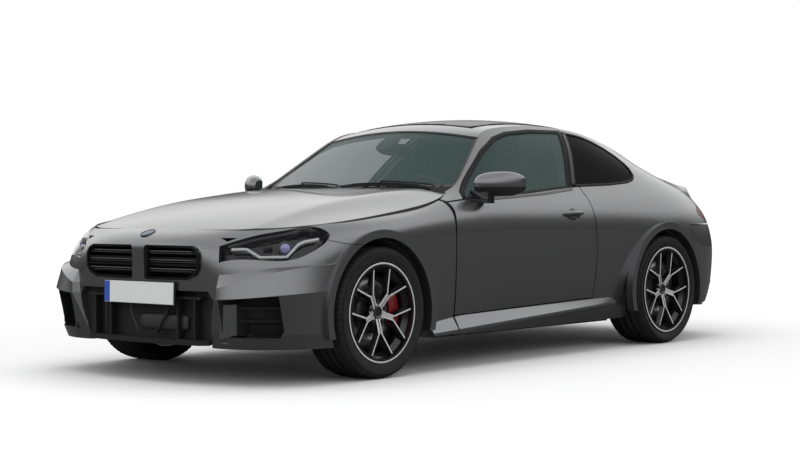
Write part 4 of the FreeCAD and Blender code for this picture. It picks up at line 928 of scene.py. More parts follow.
def arch_liner(end, side_name, side):
    """Ribbed plastic liner over the wheel."""
    y, z = axles[end]
    inner, radius = liner_edges[end], liner_radius
    rings = []
    steps = 48
    for step in range(steps + 1):
        angle = math.radians(-14) + math.radians(208) * step / steps
        ridge = radius - .002 * (step % 4 == 0)
        rings.append([Vector((x * side, y + r * math.cos(angle), z + r * math.sin(angle)))
                      for x, r in ((inner, radius), (inner + .06, ridge), (inner + .14, ridge),
                                   (.885, radius))])
    add_piece("arch_liner_%s_%s" % (end, side_name), loft(rings, closed=False, caps=False),
              liner_black, thickness=.002)


def corner_parts(side_name, side):
    for end in axles:
        wheel_parts(end, side_name, side)
        arch_liner(end, side_name, side)
    knuckle_parts(side_name, side)


# Seals, trims and small outside parts.

belt_spots = [on_side(("door_left",), y, z) for y, z in (
    (-.640, .8975), (-.40, .914), (-.13, .929), (.10, .9425), (.30, .9595), (.405, .9685))]
sail_corners = ((456, 199.5), (474, 179), (481, 199))
pillar_pixels = ((562.2, 134), (571.5, 186))


def seal_parts(side_name, side):
    facing = Vector((side, 0, .25))
    border_band("door_glass_seal_" + side_name, "door_glass_" + side_name, facing, -.015, .0120,
                .0020, seal_rubber, "door_" + side_name)
    border_band("quarter_glass_seal_" + side_name, "quarter_glass_" + side_name, facing, -.012,
                .006, .0042, seal_rubber, "chassis")


def glass_trims():
    for side_name, side in sides:
        strip_on("belt_trim_" + side_name, belt_spots, .017, .0015, .004, gloss_black,
                 "door_" + side_name, side=side)
    border_band("windscreen_border", "windscreen", (0, -.6, .8), -.022, .004, .0008, frit_black,
                "chassis", step=.018)
    border_band("rear_window_border", "rear_window", (0, .6, .8), -.030, .004, .0008, frit_black,
                "chassis", step=.018)


def wiper(label, pivot, tip, shift):
    """Arm from its pivot below the screen, and a blade that lies on the glass."""
    spots = [pivot.lerp(tip, share) for share in spaced(0, 1, 9)]
    found = [on_top(("windscreen",), spot.x, spot.y) for spot in spots]
    blade = [spot[0] + spot[1] * .010 for spot in found if spot]
    tube(label + "_blade", blade, .004, .009, rubber, around=6, smooth=False)
    spine = [p + Vector((0, 0, .009)) for p in blade[1:-1]]
    tube(label + "_spine", spine, .006, .003, satin_black, around=6)
    middle = blade[len(blade) // 2]
    arm = [blade[0] + Vector((shift, -.05, -.004)), blade[0] + Vector((shift * .6, .0, .020)),
           middle + Vector((0, -.004, .020)), middle]
    tube(label + "_arm", arm, .007, .005, satin_black, smoothing=8)


def door_handle(side_name, side):
    door = "door_" + side_name
    rings = []
    for index, y in enumerate(spaced(.218, .408, 7)):
        place, normal = on_side(("door_left",), y, .822)
        bow = .004 if index in (0, 6) else .018 + .016 * math.sin(math.pi * index / 6)
        rings.append(mirrored([place + normal * (bow + .009 * wide) + upward * .013 * tall
                               for wide, tall in circle(12)], side))
    add_piece("door_handle_" + side_name, loft(rings), body_paint, door, "body_paint",
              subdivide=1)
    # The cup behind the handle takes darker paint: painted shade in the recess.
    rings = []
    for scale in (1.0, .72, .3):
        spots = [on_side(("door_left",), .315 + .075 * wide * scale, .820 + .033 * tall * scale)
                 for wide, tall in circle(28)]
        rings.append(mirrored([p + n * (.0012 - .0004 * scale) for p, n in spots], side))
    add_piece("handle_cup_" + side_name, loft(rings), cup_painted_shade, door, "body_paint")


def mirror_parts(side_name, side):
    door = "door_" + side_name
    found = [seen(("door_left", "door_glass_left"), pixel) for pixel in sail_corners]
    sail = [place + normal * .003 for place, normal in found]
    back = [place - Vector((.012, 0, 0)) for place in sail]
    add_piece("mirror_sail_" + side_name, loft([mirrored(sail, side), mirrored(back, side)]),
              satin_black, door, smooth=False, bevel=.002)
    size = mirror_high - mirror_low
    middle = (mirror_low + mirror_high) / 2
    found = [on_rear(("door_mirror_left",), middle.x + .010 + size.x * .30 * wide,
                     middle.z + .012 + size.z * .27 * tall) for wide, tall in circle(40)]
    glass = [spot[0] + Vector((0, .0015, 0)) for spot in found if spot]
    add_piece("mirror_glass_" + side_name, (mirrored(glass, side), [tuple(range(len(glass)))]),
              mirror_silver, door, "clear_glass", smooth=False, thickness=.002)


def pillar_cover(side_name, side):
    """Black cover over the pillar between the door glass and the quarter glass."""
    top, foot = (seen(("side_frame_left",), pixel)[0] for pixel in pillar_pixels)
    run = foot - top
    across = Vector((0, run.z, -run.y)).normalized()
    if across.y < 0:
        across = -across
    planes = [(Vector((0, top.y, top.z)) + across * reach, across * -math.copysign(1, reach))
              for reach in (.030, -.030)]
    skin_piece("pillar_cover_" + side_name, "side_frame_" + side_name, (side, 0, .3),
               planes + within(z=(foot.z - .012, top.z + .014)), .0016, frit_black)


def screen_parts():
    skin_piece("screen_base", "windscreen", (0, -.6, .8), within(z=(None, .990)), .0012,
               frit_black)
    skin_piece("roof_panel", "roof", (0, 0, 1), within(x=(-.44, .44), y=(-.08, .90)), .0025,
               frit_black, slot="dark_glass")
    wiper("wiper_left", Vector((.60, -.665, 0)), Vector((.03, -.770, 0)), .03)
    wiper("wiper_right", Vector((.0, -.785, 0)), Vector((-.57, -.680, 0)), .03)


def on_both_sides(*makers):
    for side_name, side in sides:
        for maker in makers:
            maker(side_name, side)


on_both_sides(headlamp_parts, tail_lamp_parts)
on_both_sides(kidney_parts)
number_plate("front_plate", Vector((.012, plate_y, .447)))
badge_parts()
on_both_sides(corner_parts)
on_both_sides(seal_parts)
glass_trims()
on_both_sides(door_handle)
on_both_sides(mirror_parts)
on_both_sides(pillar_cover)
screen_parts()
on_both_sides(intake_parts)
mouth_parts()


# Cabin: seats and bench as sewn pads, steering wheel, dashboard, console, trims and lining.

def padded_section(centre, normal, half, deep, bolster, crown):
    """Section of a pad: a crowned middle, raised bolsters, round edges and a flat back."""
    inner, shoulder = .54, .86
    ring = []
    for share in spaced(-1, 1, 21):
        far = abs(share)
        rise = min(1, max(0, (far - inner) / (shoulder - inner)))
        rise = bolster * rise * rise * (3 - 2 * rise)
        edge = max(0, (far - .84) / .16)
        drop = (bolster * .55 + deep * .3) * (1 - math.sqrt(max(0, 1 - edge ** 2)))
        swell = crown * (1 - (share / inner) ** 2) if far < inner else 0
        groove = .006 * math.exp(-((far - inner) / .03) ** 2)
        ring.append(centre + Vector((share * half, 0, 0)) + normal * (rise - drop + swell - groove))
    for share, sink in ((.99, .55), (.96, .85), (.8, 1), (.3, 1), (-.3, 1), (-.8, 1), (-.96, .85),
                        (-.99, .55)):
        ring.append(centre + Vector((share * half, 0, 0)) - normal * deep * sink)
    return ring


def pad(name, stations, x, stands_for=None, channels=()):
    """Leather pad through stations of (y, z, lean, half width, depth, bolster, crown)."""
    rings = []
    for y, z, lean, half, deep, bolster, crown in stations:
        normal = Vector((0, -math.sin(lean), math.cos(lean)))
        rings.append(padded_section(Vector((x, y, z)), normal, half, deep, bolster, crown))
    columns = [curve_through(column, 4) for column in zip(*rings)]
    smooth = [list(ring) for ring in zip(*columns)]
    lean = stations[1][2]
    for step in channels:
        for index in range(4, 17):
            smooth[step][index] -= Vector((0, -math.sin(lean), math.cos(lean))) * .006
    piece = add_piece(name, loft(smooth), leather, slot=seat_slot, subdivide=1)
    if stands_for:
        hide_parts(stands_for)


seat_lean, bench_lean = 1.36, 1.42
seat_x, bench_x = .37, .335
seat_cushion = ((.262, .428, 0, .205, .10, .020, .004), (.225, .446, 0, .232, .13, .050, .008),
                (.10, .452, 0, .243, .15, .058, .012), (-.04, .457, 0, .245, .16, .052, .012),
                (-.13, .461, .12, .240, .16, .036, .010), (-.178, .450, .5, .228, .13, .016, .006),
                (-.190, .425, .9, .205, .08, .004, .003))
seat_back = ((.236, .470, seat_lean, .200, .055, .030, .004),
             (.242, .510, seat_lean, .222, .060, .062, .008),
             (.262, .600, seat_lean, .238, .070, .078, .012),
             (.292, .710, seat_lean, .243, .080, .080, .012),
             (.326, .830, seat_lean, .240, .075, .072, .010),
             (.350, .930, seat_lean, .215, .068, .048, .008),
             (.362, .990, seat_lean, .165, .060, .022, .006),
             (.370, 1.022, seat_lean, .120, .050, .006, .004))
headrest = ((.372, 1.030, seat_lean, .110, .040, .004, .010),
            (.368, 1.050, seat_lean, .132, .062, .010, .016),
            (.366, 1.100, seat_lean, .140, .072, .012, .018),
            (.372, 1.150, seat_lean, .130, .070, .010, .016),
            (.386, 1.182, seat_lean, .108, .060, .006, .012),
            (.400, 1.196, seat_lean, .078, .040, .002, .006))
bench_cushion = ((.860, .425, 0, .205, .14, .004, .004), (.800, .436, 0, .215, .16, .012, .008),
                 (.70, .446, 0, .218, .18, .014, .012), (.63, .456, .15, .215, .18, .012, .010),
                 (.595, .450, .5, .205, .14, .008, .006), (.582, .425, .9, .185, .08, .004, .003))
bench_back = ((.832, .47, bench_lean, .190, .06, .012, .004),
              (.838, .52, bench_lean, .208, .06, .018, .010),
              (.848, .62, bench_lean, .212, .06, .020, .012),
              (.862, .73, bench_lean, .206, .05, .016, .010),
              (.874, .80, bench_lean, .180, .035, .010, .006),
              (.882, .832, bench_lean, .140, .02, .004, .003))
bench_middle_back = ((.842, .475, bench_lean, .104, .05, .004, .003),
                     (.850, .53, bench_lean, .114, .05, .004, .008),
                     (.858, .63, bench_lean, .116, .05, .004, .010),
                     (.869, .73, bench_lean, .114, .045, .004, .008),
                     (.880, .79, bench_lean, .100, .03, .003, .004),
                     (.886, .818, bench_lean, .078, .018, .002, .002))
armrest = ((.36, .596, 0, .096, .03, 0, .006), (.30, .612, 0, .104, .034, 0, .010),
           (.15, .616, 0, .104, .034, 0, .010), (.075, .610, 0, .100, .03, 0, .006))


def patch_rings(line, corners):
    return [[point + Vector((dx, dy, 0)) for dx, dy in corners] for point in line]


def seat_parts(side_name, side):
    x = seat_x * side
    seat = "seat_" + side_name
    pad("seat_cushion_" + side_name, seat_cushion, x, seat, (7, 11, 15))
    pad("seat_back_" + side_name, seat_back, x, seat, (8, 12, 16))
    pad("headrest_" + side_name, headrest, x, seat)
    shell = [[Vector((x + share * half, y - .045 * share ** 4, z)) for share in spaced(-1, 1, 17)]
             for y, z, half in ((.325, .30, .19), (.333, .42, .225), (.345, .60, .238),
                                (.385, .80, .232), (.425, .92, .200), (.440, .985, .150),
                                (.442, 1.015, .09))]
    add_piece("seat_shell_" + side_name, loft(shell, closed=False, caps=False), gloss_black,
              slot=plastic, thickness=.006, subdivide=1)
    for place, edge in (("outer", 1), ("inner", -1)):
        strip = []
        for z in (.76, .80, .85, .90, .945, .975):
            share = (z - .76) / .215
            strip.append(Vector((x + edge * side * (.205 - .058 * share ** 2),
                                 .300 + .052 * share - .030 * (1 - share), z)))
        rings = patch_rings(curve_through(strip, 4), ((-.017, -.006), (0, -.012), (.017, -.006),
                                                      (.014, .012), (-.014, .012)))
        add_piece("seat_accent_%s_%s" % (place, side_name), loft(rings), leather_blue,
                  slot=seat_slot, subdivide=1)
    line = [Vector((x, .206 + (z - .60) * .3, z)) for z in (.60, .64, .68, .72)]
    rings = patch_rings(line, [(side * (.228 + dx), dy) for dx, dy in (
        (-.020, -.010), (0, -.016), (.016, -.004), (.014, .02), (-.014, .02))])
    add_piece("seat_red_panel_" + side_name, loft(rings), leather_red, slot=seat_slot,
              subdivide=1)
    for label, edge in (("b", -1), ("a", 1)):
        line = [(x + edge * half * .54, y - .012, z) for y, z, half in (
            (.255, .56, .236), (.285, .70, .243), (.318, .82, .240), (.345, .92, .216))]
        tube("back_seam_%s_%s" % (label, side_name), line, .0016, .0016, thread_grey,
             slot=seat_slot, smoothing=4, around=5)
    for index, post in enumerate((x - .036, x + .036)):
        tube("headrest_post_%d_%s" % (index, side_name), [(post, .395, .99), (post, .397, 1.05)],
             .007, .007, bright_metal)
    for index, edge in enumerate((-1, 1)):
        label = "%d_%s" % (index, side_name)
        rail = x + .19 * edge
        tube("seat_rail_" + label, [(rail, -.17, .236), (rail, .30, .236)], .016, .010,
             dark_metal, around=4, smooth=False)
        cover = [(x + .19 * edge * share, y, z) for share, y, z in (
            (1.22, -.12, .33), (1.25, .10, .34), (1.2, .28, .40))]
        tube("seat_side_cover_" + label, cover, .012, .045, soft_plastic, slot=plastic,
             smoothing=5)
    add_piece("seat_frame_" + side_name,
              loft(box_rings((x - .17, -.12, .24), (x + .17, .24, .33), .9)), dark_metal,
              smooth=False, bevel=.01)


def bench_parts():
    channels = (6, 10, 14)
    for side_name, side in sides:
        x = bench_x * side
        pad("bench_cushion_" + side_name, bench_cushion, x, "rear_bench", channels)
        pad("bench_back_" + side_name, bench_back, x, "rear_bench", channels)
    tray = loft(box_rings((-.118, .60, .428), (.118, .86, .470), .9))
    piece = add_piece("bench_middle", tray, soft_plastic, slot=plastic, bevel=.014)
    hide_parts("rear_bench")
    pad("bench_middle_back", bench_middle_back, 0, "rear_bench", channels)


wheel_middle = Vector((seat_x, -.36872, .86986))
wheel_normal = Vector((0, .911403, .411514))
wheel_rise = Vector((0, -.411514, .911403))
grip_radius = .1815


def wheel_point(across, rise, out):
    return wheel_middle + Vector((across, 0, 0)) + wheel_rise * rise + wheel_normal * out


def wheel_bar(label, side_name, side, points, width, depth, mat, body="steering_wheel",
              slot="dark_trim"):
    line = [wheel_point(side * across, rise, out) for across, rise, out in points]
    tube("%s_%s" % (label, side_name), line, width, depth, mat, body, slot, smoothing=6)


def steering_parts():
    body = "steering_wheel"
    rings = [[wheel_point(.072 * wide * size, (.058 * tall - .006) * size, out)
              for wide, tall in circle(32, .7, .8)]
             for out, size in ((-.02, .8), (.0, 1.0), (.020, 1.0), (.032, .86), (.038, .55))]
    add_piece("wheel_boss", loft(rings), soft_plastic, body, plastic)
    turned("wheel_badge", [(.036, .0195), (.040, .0195), (.0415, .0175), (.0415, 0)],
           wheel_middle, wheel_normal, 40, bright_metal, body)
    turned("wheel_badge_face", [(.0412, .0170), (.0424, .010), (.0426, 0)], wheel_middle,
           wheel_normal, 40, leather_blue, body)
    for side_name, side in sides:
        wheel_bar("wheel_arm", side_name, side, ((.06, .012, .012), (.11, .008, .012),
                                                 (.168, .020, .004)), .020, .010, soft_plastic,
                  slot=plastic)
        wheel_bar("wheel_arm_trim", side_name, side, (
            (.075, -.006, .024), (.12, -.012, .022), (.160, -.002, .014)), .004, .003, slat_bright)
        wheel_bar("wheel_leg", side_name, side, (
            (.030, -.045, .014), (.026, -.10, .010), (.034, -.160, .004)), .009, .006, slat_bright)
        wheel_bar("shift_paddle", side_name, side, (
            (.085, .050, -.030), (.118, .060, -.032), (.135, .020, -.030), (.118, -.012, -.030)),
                  .010, .004, dark_metal)
        turns = [math.radians(12 + 5 * step) for step in range(9)]
        grip = [wheel_point(side * grip_radius * math.cos(t), grip_radius * math.sin(t), .001)
                for t in turns]
        tube("wheel_grip_" + side_name, grip, .0172, .0172, leather, body, seat_slot)
    mark = [wheel_point(grip_radius * math.sin(a), grip_radius * math.cos(a), 0)
            for a in (-.035, 0, .035)]
    tube("wheel_top_mark", mark, .0158, .0158, leather_red, body, seat_slot, around=16)
    cowl = [[wheel_point(.055 * size * wide, .042 * size * tall - .004, out)
             for wide, tall in circle(24)]
            for out, size in ((-.205, 1.05), (-.12, 1.0), (-.05, .9), (-.035, .8))]
    add_piece("column_cowl", loft(cowl, caps=False), soft_plastic, slot=plastic, thickness=.003)
    for side_name, side in sides:
        wheel_bar("column_stalk", side_name, side, (
            (.05, .01, -.075), (.10, .02, -.070), (.165, .035, -.060)), .009, .006, soft_plastic,
                  "chassis", plastic)


def dash_parts():
    line = [(x, -.600 + .02 * (x / .6) ** 2, .927) for x in (-.604, -.4, -.2, 0, .2, .4, .604)]
    tube("dash_top_pad", line, .075, .010, soft_plastic, slot=plastic, smoothing=4)
    shade = [(.600, -.560, .952), (.30, -.548, .958), (0, -.552, .955), (-.09, -.560, .950)]
    screen = [[point + Vector((0, dy, dz)) for dy, dz in (
        (0, 0), (.022, -.092), (.006, -.094), (-.014, -.004))] for point in curve_through(shade, 6)]
    add_piece("dash_screen", loft(screen), screen_black, slot=plastic, smooth=False, bevel=.003)
    trim = [(x, -.508, .832) for x in (.604, .3, 0, -.3, -.604)]
    tube("dash_trim_strip", trim, .004, .010, slat_bright, around=6)
    for index, x in enumerate((.53, .07, -.07, -.53)):
        corners = [(x - .052, -.5135, .812), (x + .052, -.5135, .812), (x + .052, -.526, .768),
                   (x - .052, -.526, .768)]
        tube("vent_frame_%d" % index, corners, .004, .004, gloss_black, slot=plastic, around=6,
             closed=True)
        for row in range(4):
            share = (row + .8) / 4.6
            y, z = -.5135 - .0125 * share, .812 - .044 * share
            tube("vent_slat_%d_%d" % (index, row), [(x - .050, y, z), (x + .050, y, z)], .006,
                 .0016, satin_black, slot=plastic, around=4, smooth=False)
    glove = [(-.16, -.522, .775), (-.50, -.522, .775), (-.52, -.536, .712), (-.18, -.536, .712)]
    tube("glove_box_seam", glove, .0022, .0022, black_and_painted_shade, slot=plastic, around=4, closed=True)


def console_parts():
    floor_z = .43
    section = ((-1, 0), (-1, .8), (-.86, 1), (0, 1.02), (.86, 1), (1, .8), (1, 0))
    rings = [[Vector((x * half, y, floor_z + (top - floor_z) * z)) for x, z in section]
             for y, half, top in ((-.53, .100, .70), (-.46, .106, .63), (-.34, .110, .565),
                                  (-.10, .112, .552), (.02, .112, .556), (.06, .110, .600),
                                  (.30, .106, .606), (.36, .100, .585), (.37, .09, .50))]
    add_piece("centre_console", loft(rings), soft_plastic, slot=plastic, bevel=.004, smooth=False)
    pad("armrest_pad", armrest, 0)
    slab("console_panel", [(-.085, -.34, .5745), (.085, -.34, .5745), (.088, -.02, .5605),
                           (-.088, -.02, .5605)], .006, upward, gloss_black, slot=plastic)
    tube("shift_lever", [(0, -.19, .56), (0, -.185, .60), (0, -.178, .640)], .011, .011,
         soft_plastic, slot=plastic, smoothing=4)
    knob = [(-.004, .012), (.0, .020), (.020, .024), (.045, .020), (.055, .010), (.056, 0)]
    turned("shift_knob", knob, (0, -.181, .622), Vector((0, .15, 1)), 32, leather, slot=seat_slot)
    turned("console_dial", [(-.004, .026), (.012, .026), (.015, .023), (.0155, 0)],
           (0, -.075, .564), upward, 40, dark_metal)
    for index, y in enumerate((-.30, -.39)):
        cup = [(.004, .040), (.008, .038), (.006, .034), (-.050, .031), (-.052, 0)]
        turned("cup_holder_%d" % index, cup, (0, y, .575 + .015 * index), upward, 40, satin_black,
               slot=plastic, thickness=.001)
    for index, (x, width) in enumerate(((.33, .035), (.45, .028))):
        slab("pedal_%d" % index, [(x - width, -.700, .40), (x + width, -.700, .40),
                                  (x + width, -.735, .30), (x - width, -.735, .30)],
             .010, (0, 1, .3), dark_metal)
        tube("pedal_arm_%d" % index, [(x, -.72, .36), (x, -.76, .56)], .008, .008, dark_metal)
    for side_name, side in sides:
        corners = [(.15, -.66, .229), (.60, -.62, .229), (.60, -.22, .229), (.15, -.22, .229)]
        slab("floor_mat_" + side_name, mirrored(corners, side), .004, upward, carpet,
             slot=plastic, bevel=.002)


def inner_spot(y, z):
    """Place and normal on the inside of the left door."""
    place, normal = hit(("door_left",), (0, y, z), (1, 0, 0)) or (Vector((.76, y, z)),
                                                                 Vector((-1, 0, 0)))
    return place, Vector((-abs(normal.x), normal.y, normal.z))


def inner_sheet(name, ys, zs, lift, mat, side_name, side, slot, crown):
    """Panel over the inside of a door, raised towards its middle."""
    rows = []
    for row, z in enumerate(zs):
        line = []
        for column, y in enumerate(ys):
            share = math.sin(math.pi * row / (len(zs) - 1)) * math.sin(
                math.pi * column / (len(ys) - 1))
            line.append(Vector((inner_spot(y, z)[0].x - lift - crown * share ** .5, y, z)))
        rows.append(mirrored(line, side))
    return add_piece(name + side_name, loft(rows, closed=False, caps=False), mat,
                     "door_" + side_name, slot, thickness=.004)


def door_trim(side_name, side):
    body = "door_" + side_name
    inner_sheet("door_card_", spaced(-.50, .86, 18), spaced(.28, .875, 12), .004, soft_plastic,
                side_name, side, plastic, .004)
    insert = inner_sheet("door_insert_", spaced(-.36, .74, 16), spaced(.645, .795, 7), .010,
                         leather, side_name, side, seat_slot, .012)
    for label, z, y0, y1, width, lift, mat in (
            ("door_armrest_", .605, -.30, .72, .024, .030, leather),
            ("door_trim_strip_", .815, -.40, .80, .007, .012, slat_bright)):
        line = [((inner_spot(y, z)[0].x - lift) * side, y, z + .02 * (y - y0))
                for y in spaced(y0, y1, 8)]
        tube(label + side_name, line, lift * .9, width, mat, body, plastic, smoothing=3)
    base = Vector(((inner_spot(-.36, .43)[0].x - .004) * side, -.36, .43))
    ring = [(-.002, .082), (.006, .082), (.009, .078), (.006, .074), (.010, .04), (.012, 0)]
    turned("door_speaker_" + side_name, ring, base, Vector((-side, 0, 0)), 48, satin_black, body,
           plastic)
    x = inner_spot(-.20, .76)[0].x - .022
    line = [(x * side, -.24, .765), ((x - .016) * side, -.19, .765), (x * side, -.12, .765)]
    tube("door_release_" + side_name, line, .005, .010, bright_metal, body, smoothing=5)


def mirror_inside(middle_z):
    """Sensor pod on the windscreen, and the mirror that hangs from it."""
    pod = []
    for y, half, low in ((-.385, .040, -.005), (-.36, .055, -.034), (-.31, .060, -.046),
                         (-.26, .050, -.030), (-.235, .036, -.012)):
        top = below_roof(("windscreen",), 0, y)
        z = (top[0].z if top else middle_z) - .004
        ring = []
        for t in [2 * math.pi * step / 16 for step in range(16)]:
            sunk = low * (1 - .5 * math.cos(t * 2)) if math.sin(t) < 0 else 0
            ring.append(Vector((half * math.cos(t), y, z + sunk)))
        pod.append(ring)
    add_piece("sensor_pod", loft(pod), soft_plastic, slot=plastic)
    stem = [(0, y, middle_z - drop) for y, drop in ((-.275, .01), (-.265, .035), (-.258, .062))]
    tube("mirror_stem", stem, .010, .010, soft_plastic, slot=plastic, smoothing=4)
    rings = [[Vector((.118 * wide * size, -.244 + depth,
                      middle_z - .078 + .034 * tall * size - depth * .2))
              for wide, tall in circle(36, .55, .7)]
             for depth, size in ((-.014, .80), (-.008, .95), (.004, 1.0), (.012, .98),
                                 (.014, .93))]
    add_piece("rear_view_mirror", loft(rings), soft_plastic, slot=plastic)
    face = [v + Vector((0, .0012, 0)) for v in rings[-1]]
    add_piece("rear_view_glass", (face, [tuple(range(len(face)))]), mirror_silver,
              slot="clear_glass", smooth=False)


def lining_parts():
    skin_piece("headliner", "roof", (0, 0, -1), [], .004, pale_lining, threshold=.5,
               slot=plastic)
    for side_name, side in sides:
        skin_piece("pillar_lining_" + side_name, "side_frame_" + side_name, (-side, 0, -.15),
                   within(z=(.93, None), y=(None, 1.33)), .004, pale_lining, threshold=.1,
                   slot=plastic)
    mirror_inside(below_roof(("windscreen",), 0, -.27)[0].z)
    for side_name, side in sides:
        visor = []
        for y in (.015, .075, .135, .155):
            top = hit(("roof", "windscreen"), (side * .36, y, .95), upward)
            z = (top[0].z if top else 1.34) - .016
            visor.append([Vector((side * x, y, z - .012 * (abs(x - .36) / .17) ** 2 + dz))
                          for x, dz in ((.20, 0), (.30, 0), (.42, 0), (.53, 0), (.53, -.012),
                                        (.42, -.014), (.30, -.014), (.20, -.012))])
        add_piece("sun_visor_" + side_name, loft(visor), pale_lining, slot=plastic, bevel=.004)
        belt = mirrored([(.70, .52, 1.13), (.69, .50, .90), (.665, .46, .60), (.655, .44, .34)],
                        side)
        rings = patch_rings(curve_through(belt, 5), ((-.0008, -.024), (.0008, -.024),
                                                     (.0008, .024), (-.0008, .024)))
        add_piece("seat_belt_" + side_name, loft(rings), belt_web, slot=seat_slot, smooth=False)
    shelf = [(-.60, .93, .842), (.60, .93, .842), (.66, 1.30, .845), (-.66, 1.30, .845)]
    slab("parcel_shelf", shelf, .010, upward, lining, slot=plastic, bevel=.004)
    for side_name, side in sides:
        grille = [(-.001, .060), (.004, .060), (.006, .056), (.004, .052), (.006, 0)]
        turned("shelf_speaker_" + side_name, grille, (side * .40, 1.12, .8445), upward, 48,
               satin_black, slot=plastic)


on_both_sides(seat_parts)
bench_parts()
steering_parts()
dash_parts()
console_parts()
on_both_sides(door_trim)
lining_parts()


# Rear, engine bay and luggage space.

def lip_spoiler():
    rings = []
    for x in spaced(-.52, .52, 27):
        edge = on_rear(("trunk_lid",), x, .962)[0].y
        ahead = on_top(("trunk_lid",), x, edge - .058)[0].z
        near = on_top(("trunk_lid",), x, edge - .006)[0].z
        tall = .002 + .016 * (1 - abs(x / .52) ** 5)
        rings.append([Vector((x, edge + dy, z)) for dy, z in (
            (-.058, ahead - .001), (-.030, ahead + .3 * tall), (-.004, near + tall),
            (.006, near + tall + .001), (.007, near + tall - .004), (-.002, near - .012))])
    add_piece("lip_spoiler", loft(rings), gloss_black, "trunk_lid")


def rear_parts():
    for index, x in enumerate((-.26, -.17, -.08, .08, .17, .26)):
        lines = []
        for z, proud in ((.235, .006), (.27, .016), (.31, .018), (.345, .006)):
            place = on_rear(("diffuser",), x, z)[0]
            lines.append([Vector((x + dx, place.y + dy, z)) for dx, dy in (
                (-.005, -.01), (-.0035, proud), (.0035, proud), (.005, -.01))])
        add_piece("diffuser_fin_%d" % index, loft(lines), satin_black, smooth=False, bevel=.0012)
    for index, x in enumerate((-.4151, -.3114, .3114, .4151)):
        face = Vector((x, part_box("diffuser")[1].y, .3016))
        rim = [(-.030, .0490), (.0000, .0490), (.0024, .0478), (.0030, .0460), (.0020, .0440),
               (-.0002, .0432), (-.0002, .0440)]
        turned("exhaust_rim_%d" % index, rim, face, rearward, 56, steel)
        # Near-black disc across the mouth of the pipe: painted shade for the inside of the pipe.
        hole = [(.0006, .0442), (.0009, .030), (.0010, 0)]
        turned("exhaust_painted_shade_%d" % index, hole, face, rearward, 40, black_and_painted_shade)
    for side_name, side in sides:
        spots = [on_rear(("rear_bumper",), x, .395) for x in (.60, .64, .68, .72, .745)]
        strip_on("rear_reflector_" + side_name, spots, .018, .0015, .004, tail_red,
                 slot="tail_lens", side=side)
        spots = [on_side(("rear_bumper",), y, .36) for y in (1.95, 2.02, 2.08)]
        strip_on("rear_corner_slot_" + side_name, spots, .012, .0010, .003, satin_black,
                 side=side)
    spots = [on_rear(("rear_window",), x, 1.315) for x in spaced(-.14, .14, 7)]
    strip_on("high_brake_lamp", spots, .016, .0015, .003, tail_red, slot="tail_lens")


def moulded(name, place, half_x, half_y, low, high, mat, shrink=.9):
    """Moulded housing with round corners and a crowned top."""
    rings = [[Vector((place[0] + half_x * share * wide, place[1] + half_y * share * tall, z))
              for wide, tall in circle(28, .6, .6)]
             for share, z in ((.96, low), (1, low + .01), ((1 + shrink) / 2, high - .03),
                              (shrink, high - .008), (shrink - .07, high))]
    add_piece(name, loft(rings), mat, slot=plastic)


def cap_on(name, place, profile, mat):
    turned(name, profile, place, upward, 24, mat, slot=plastic)


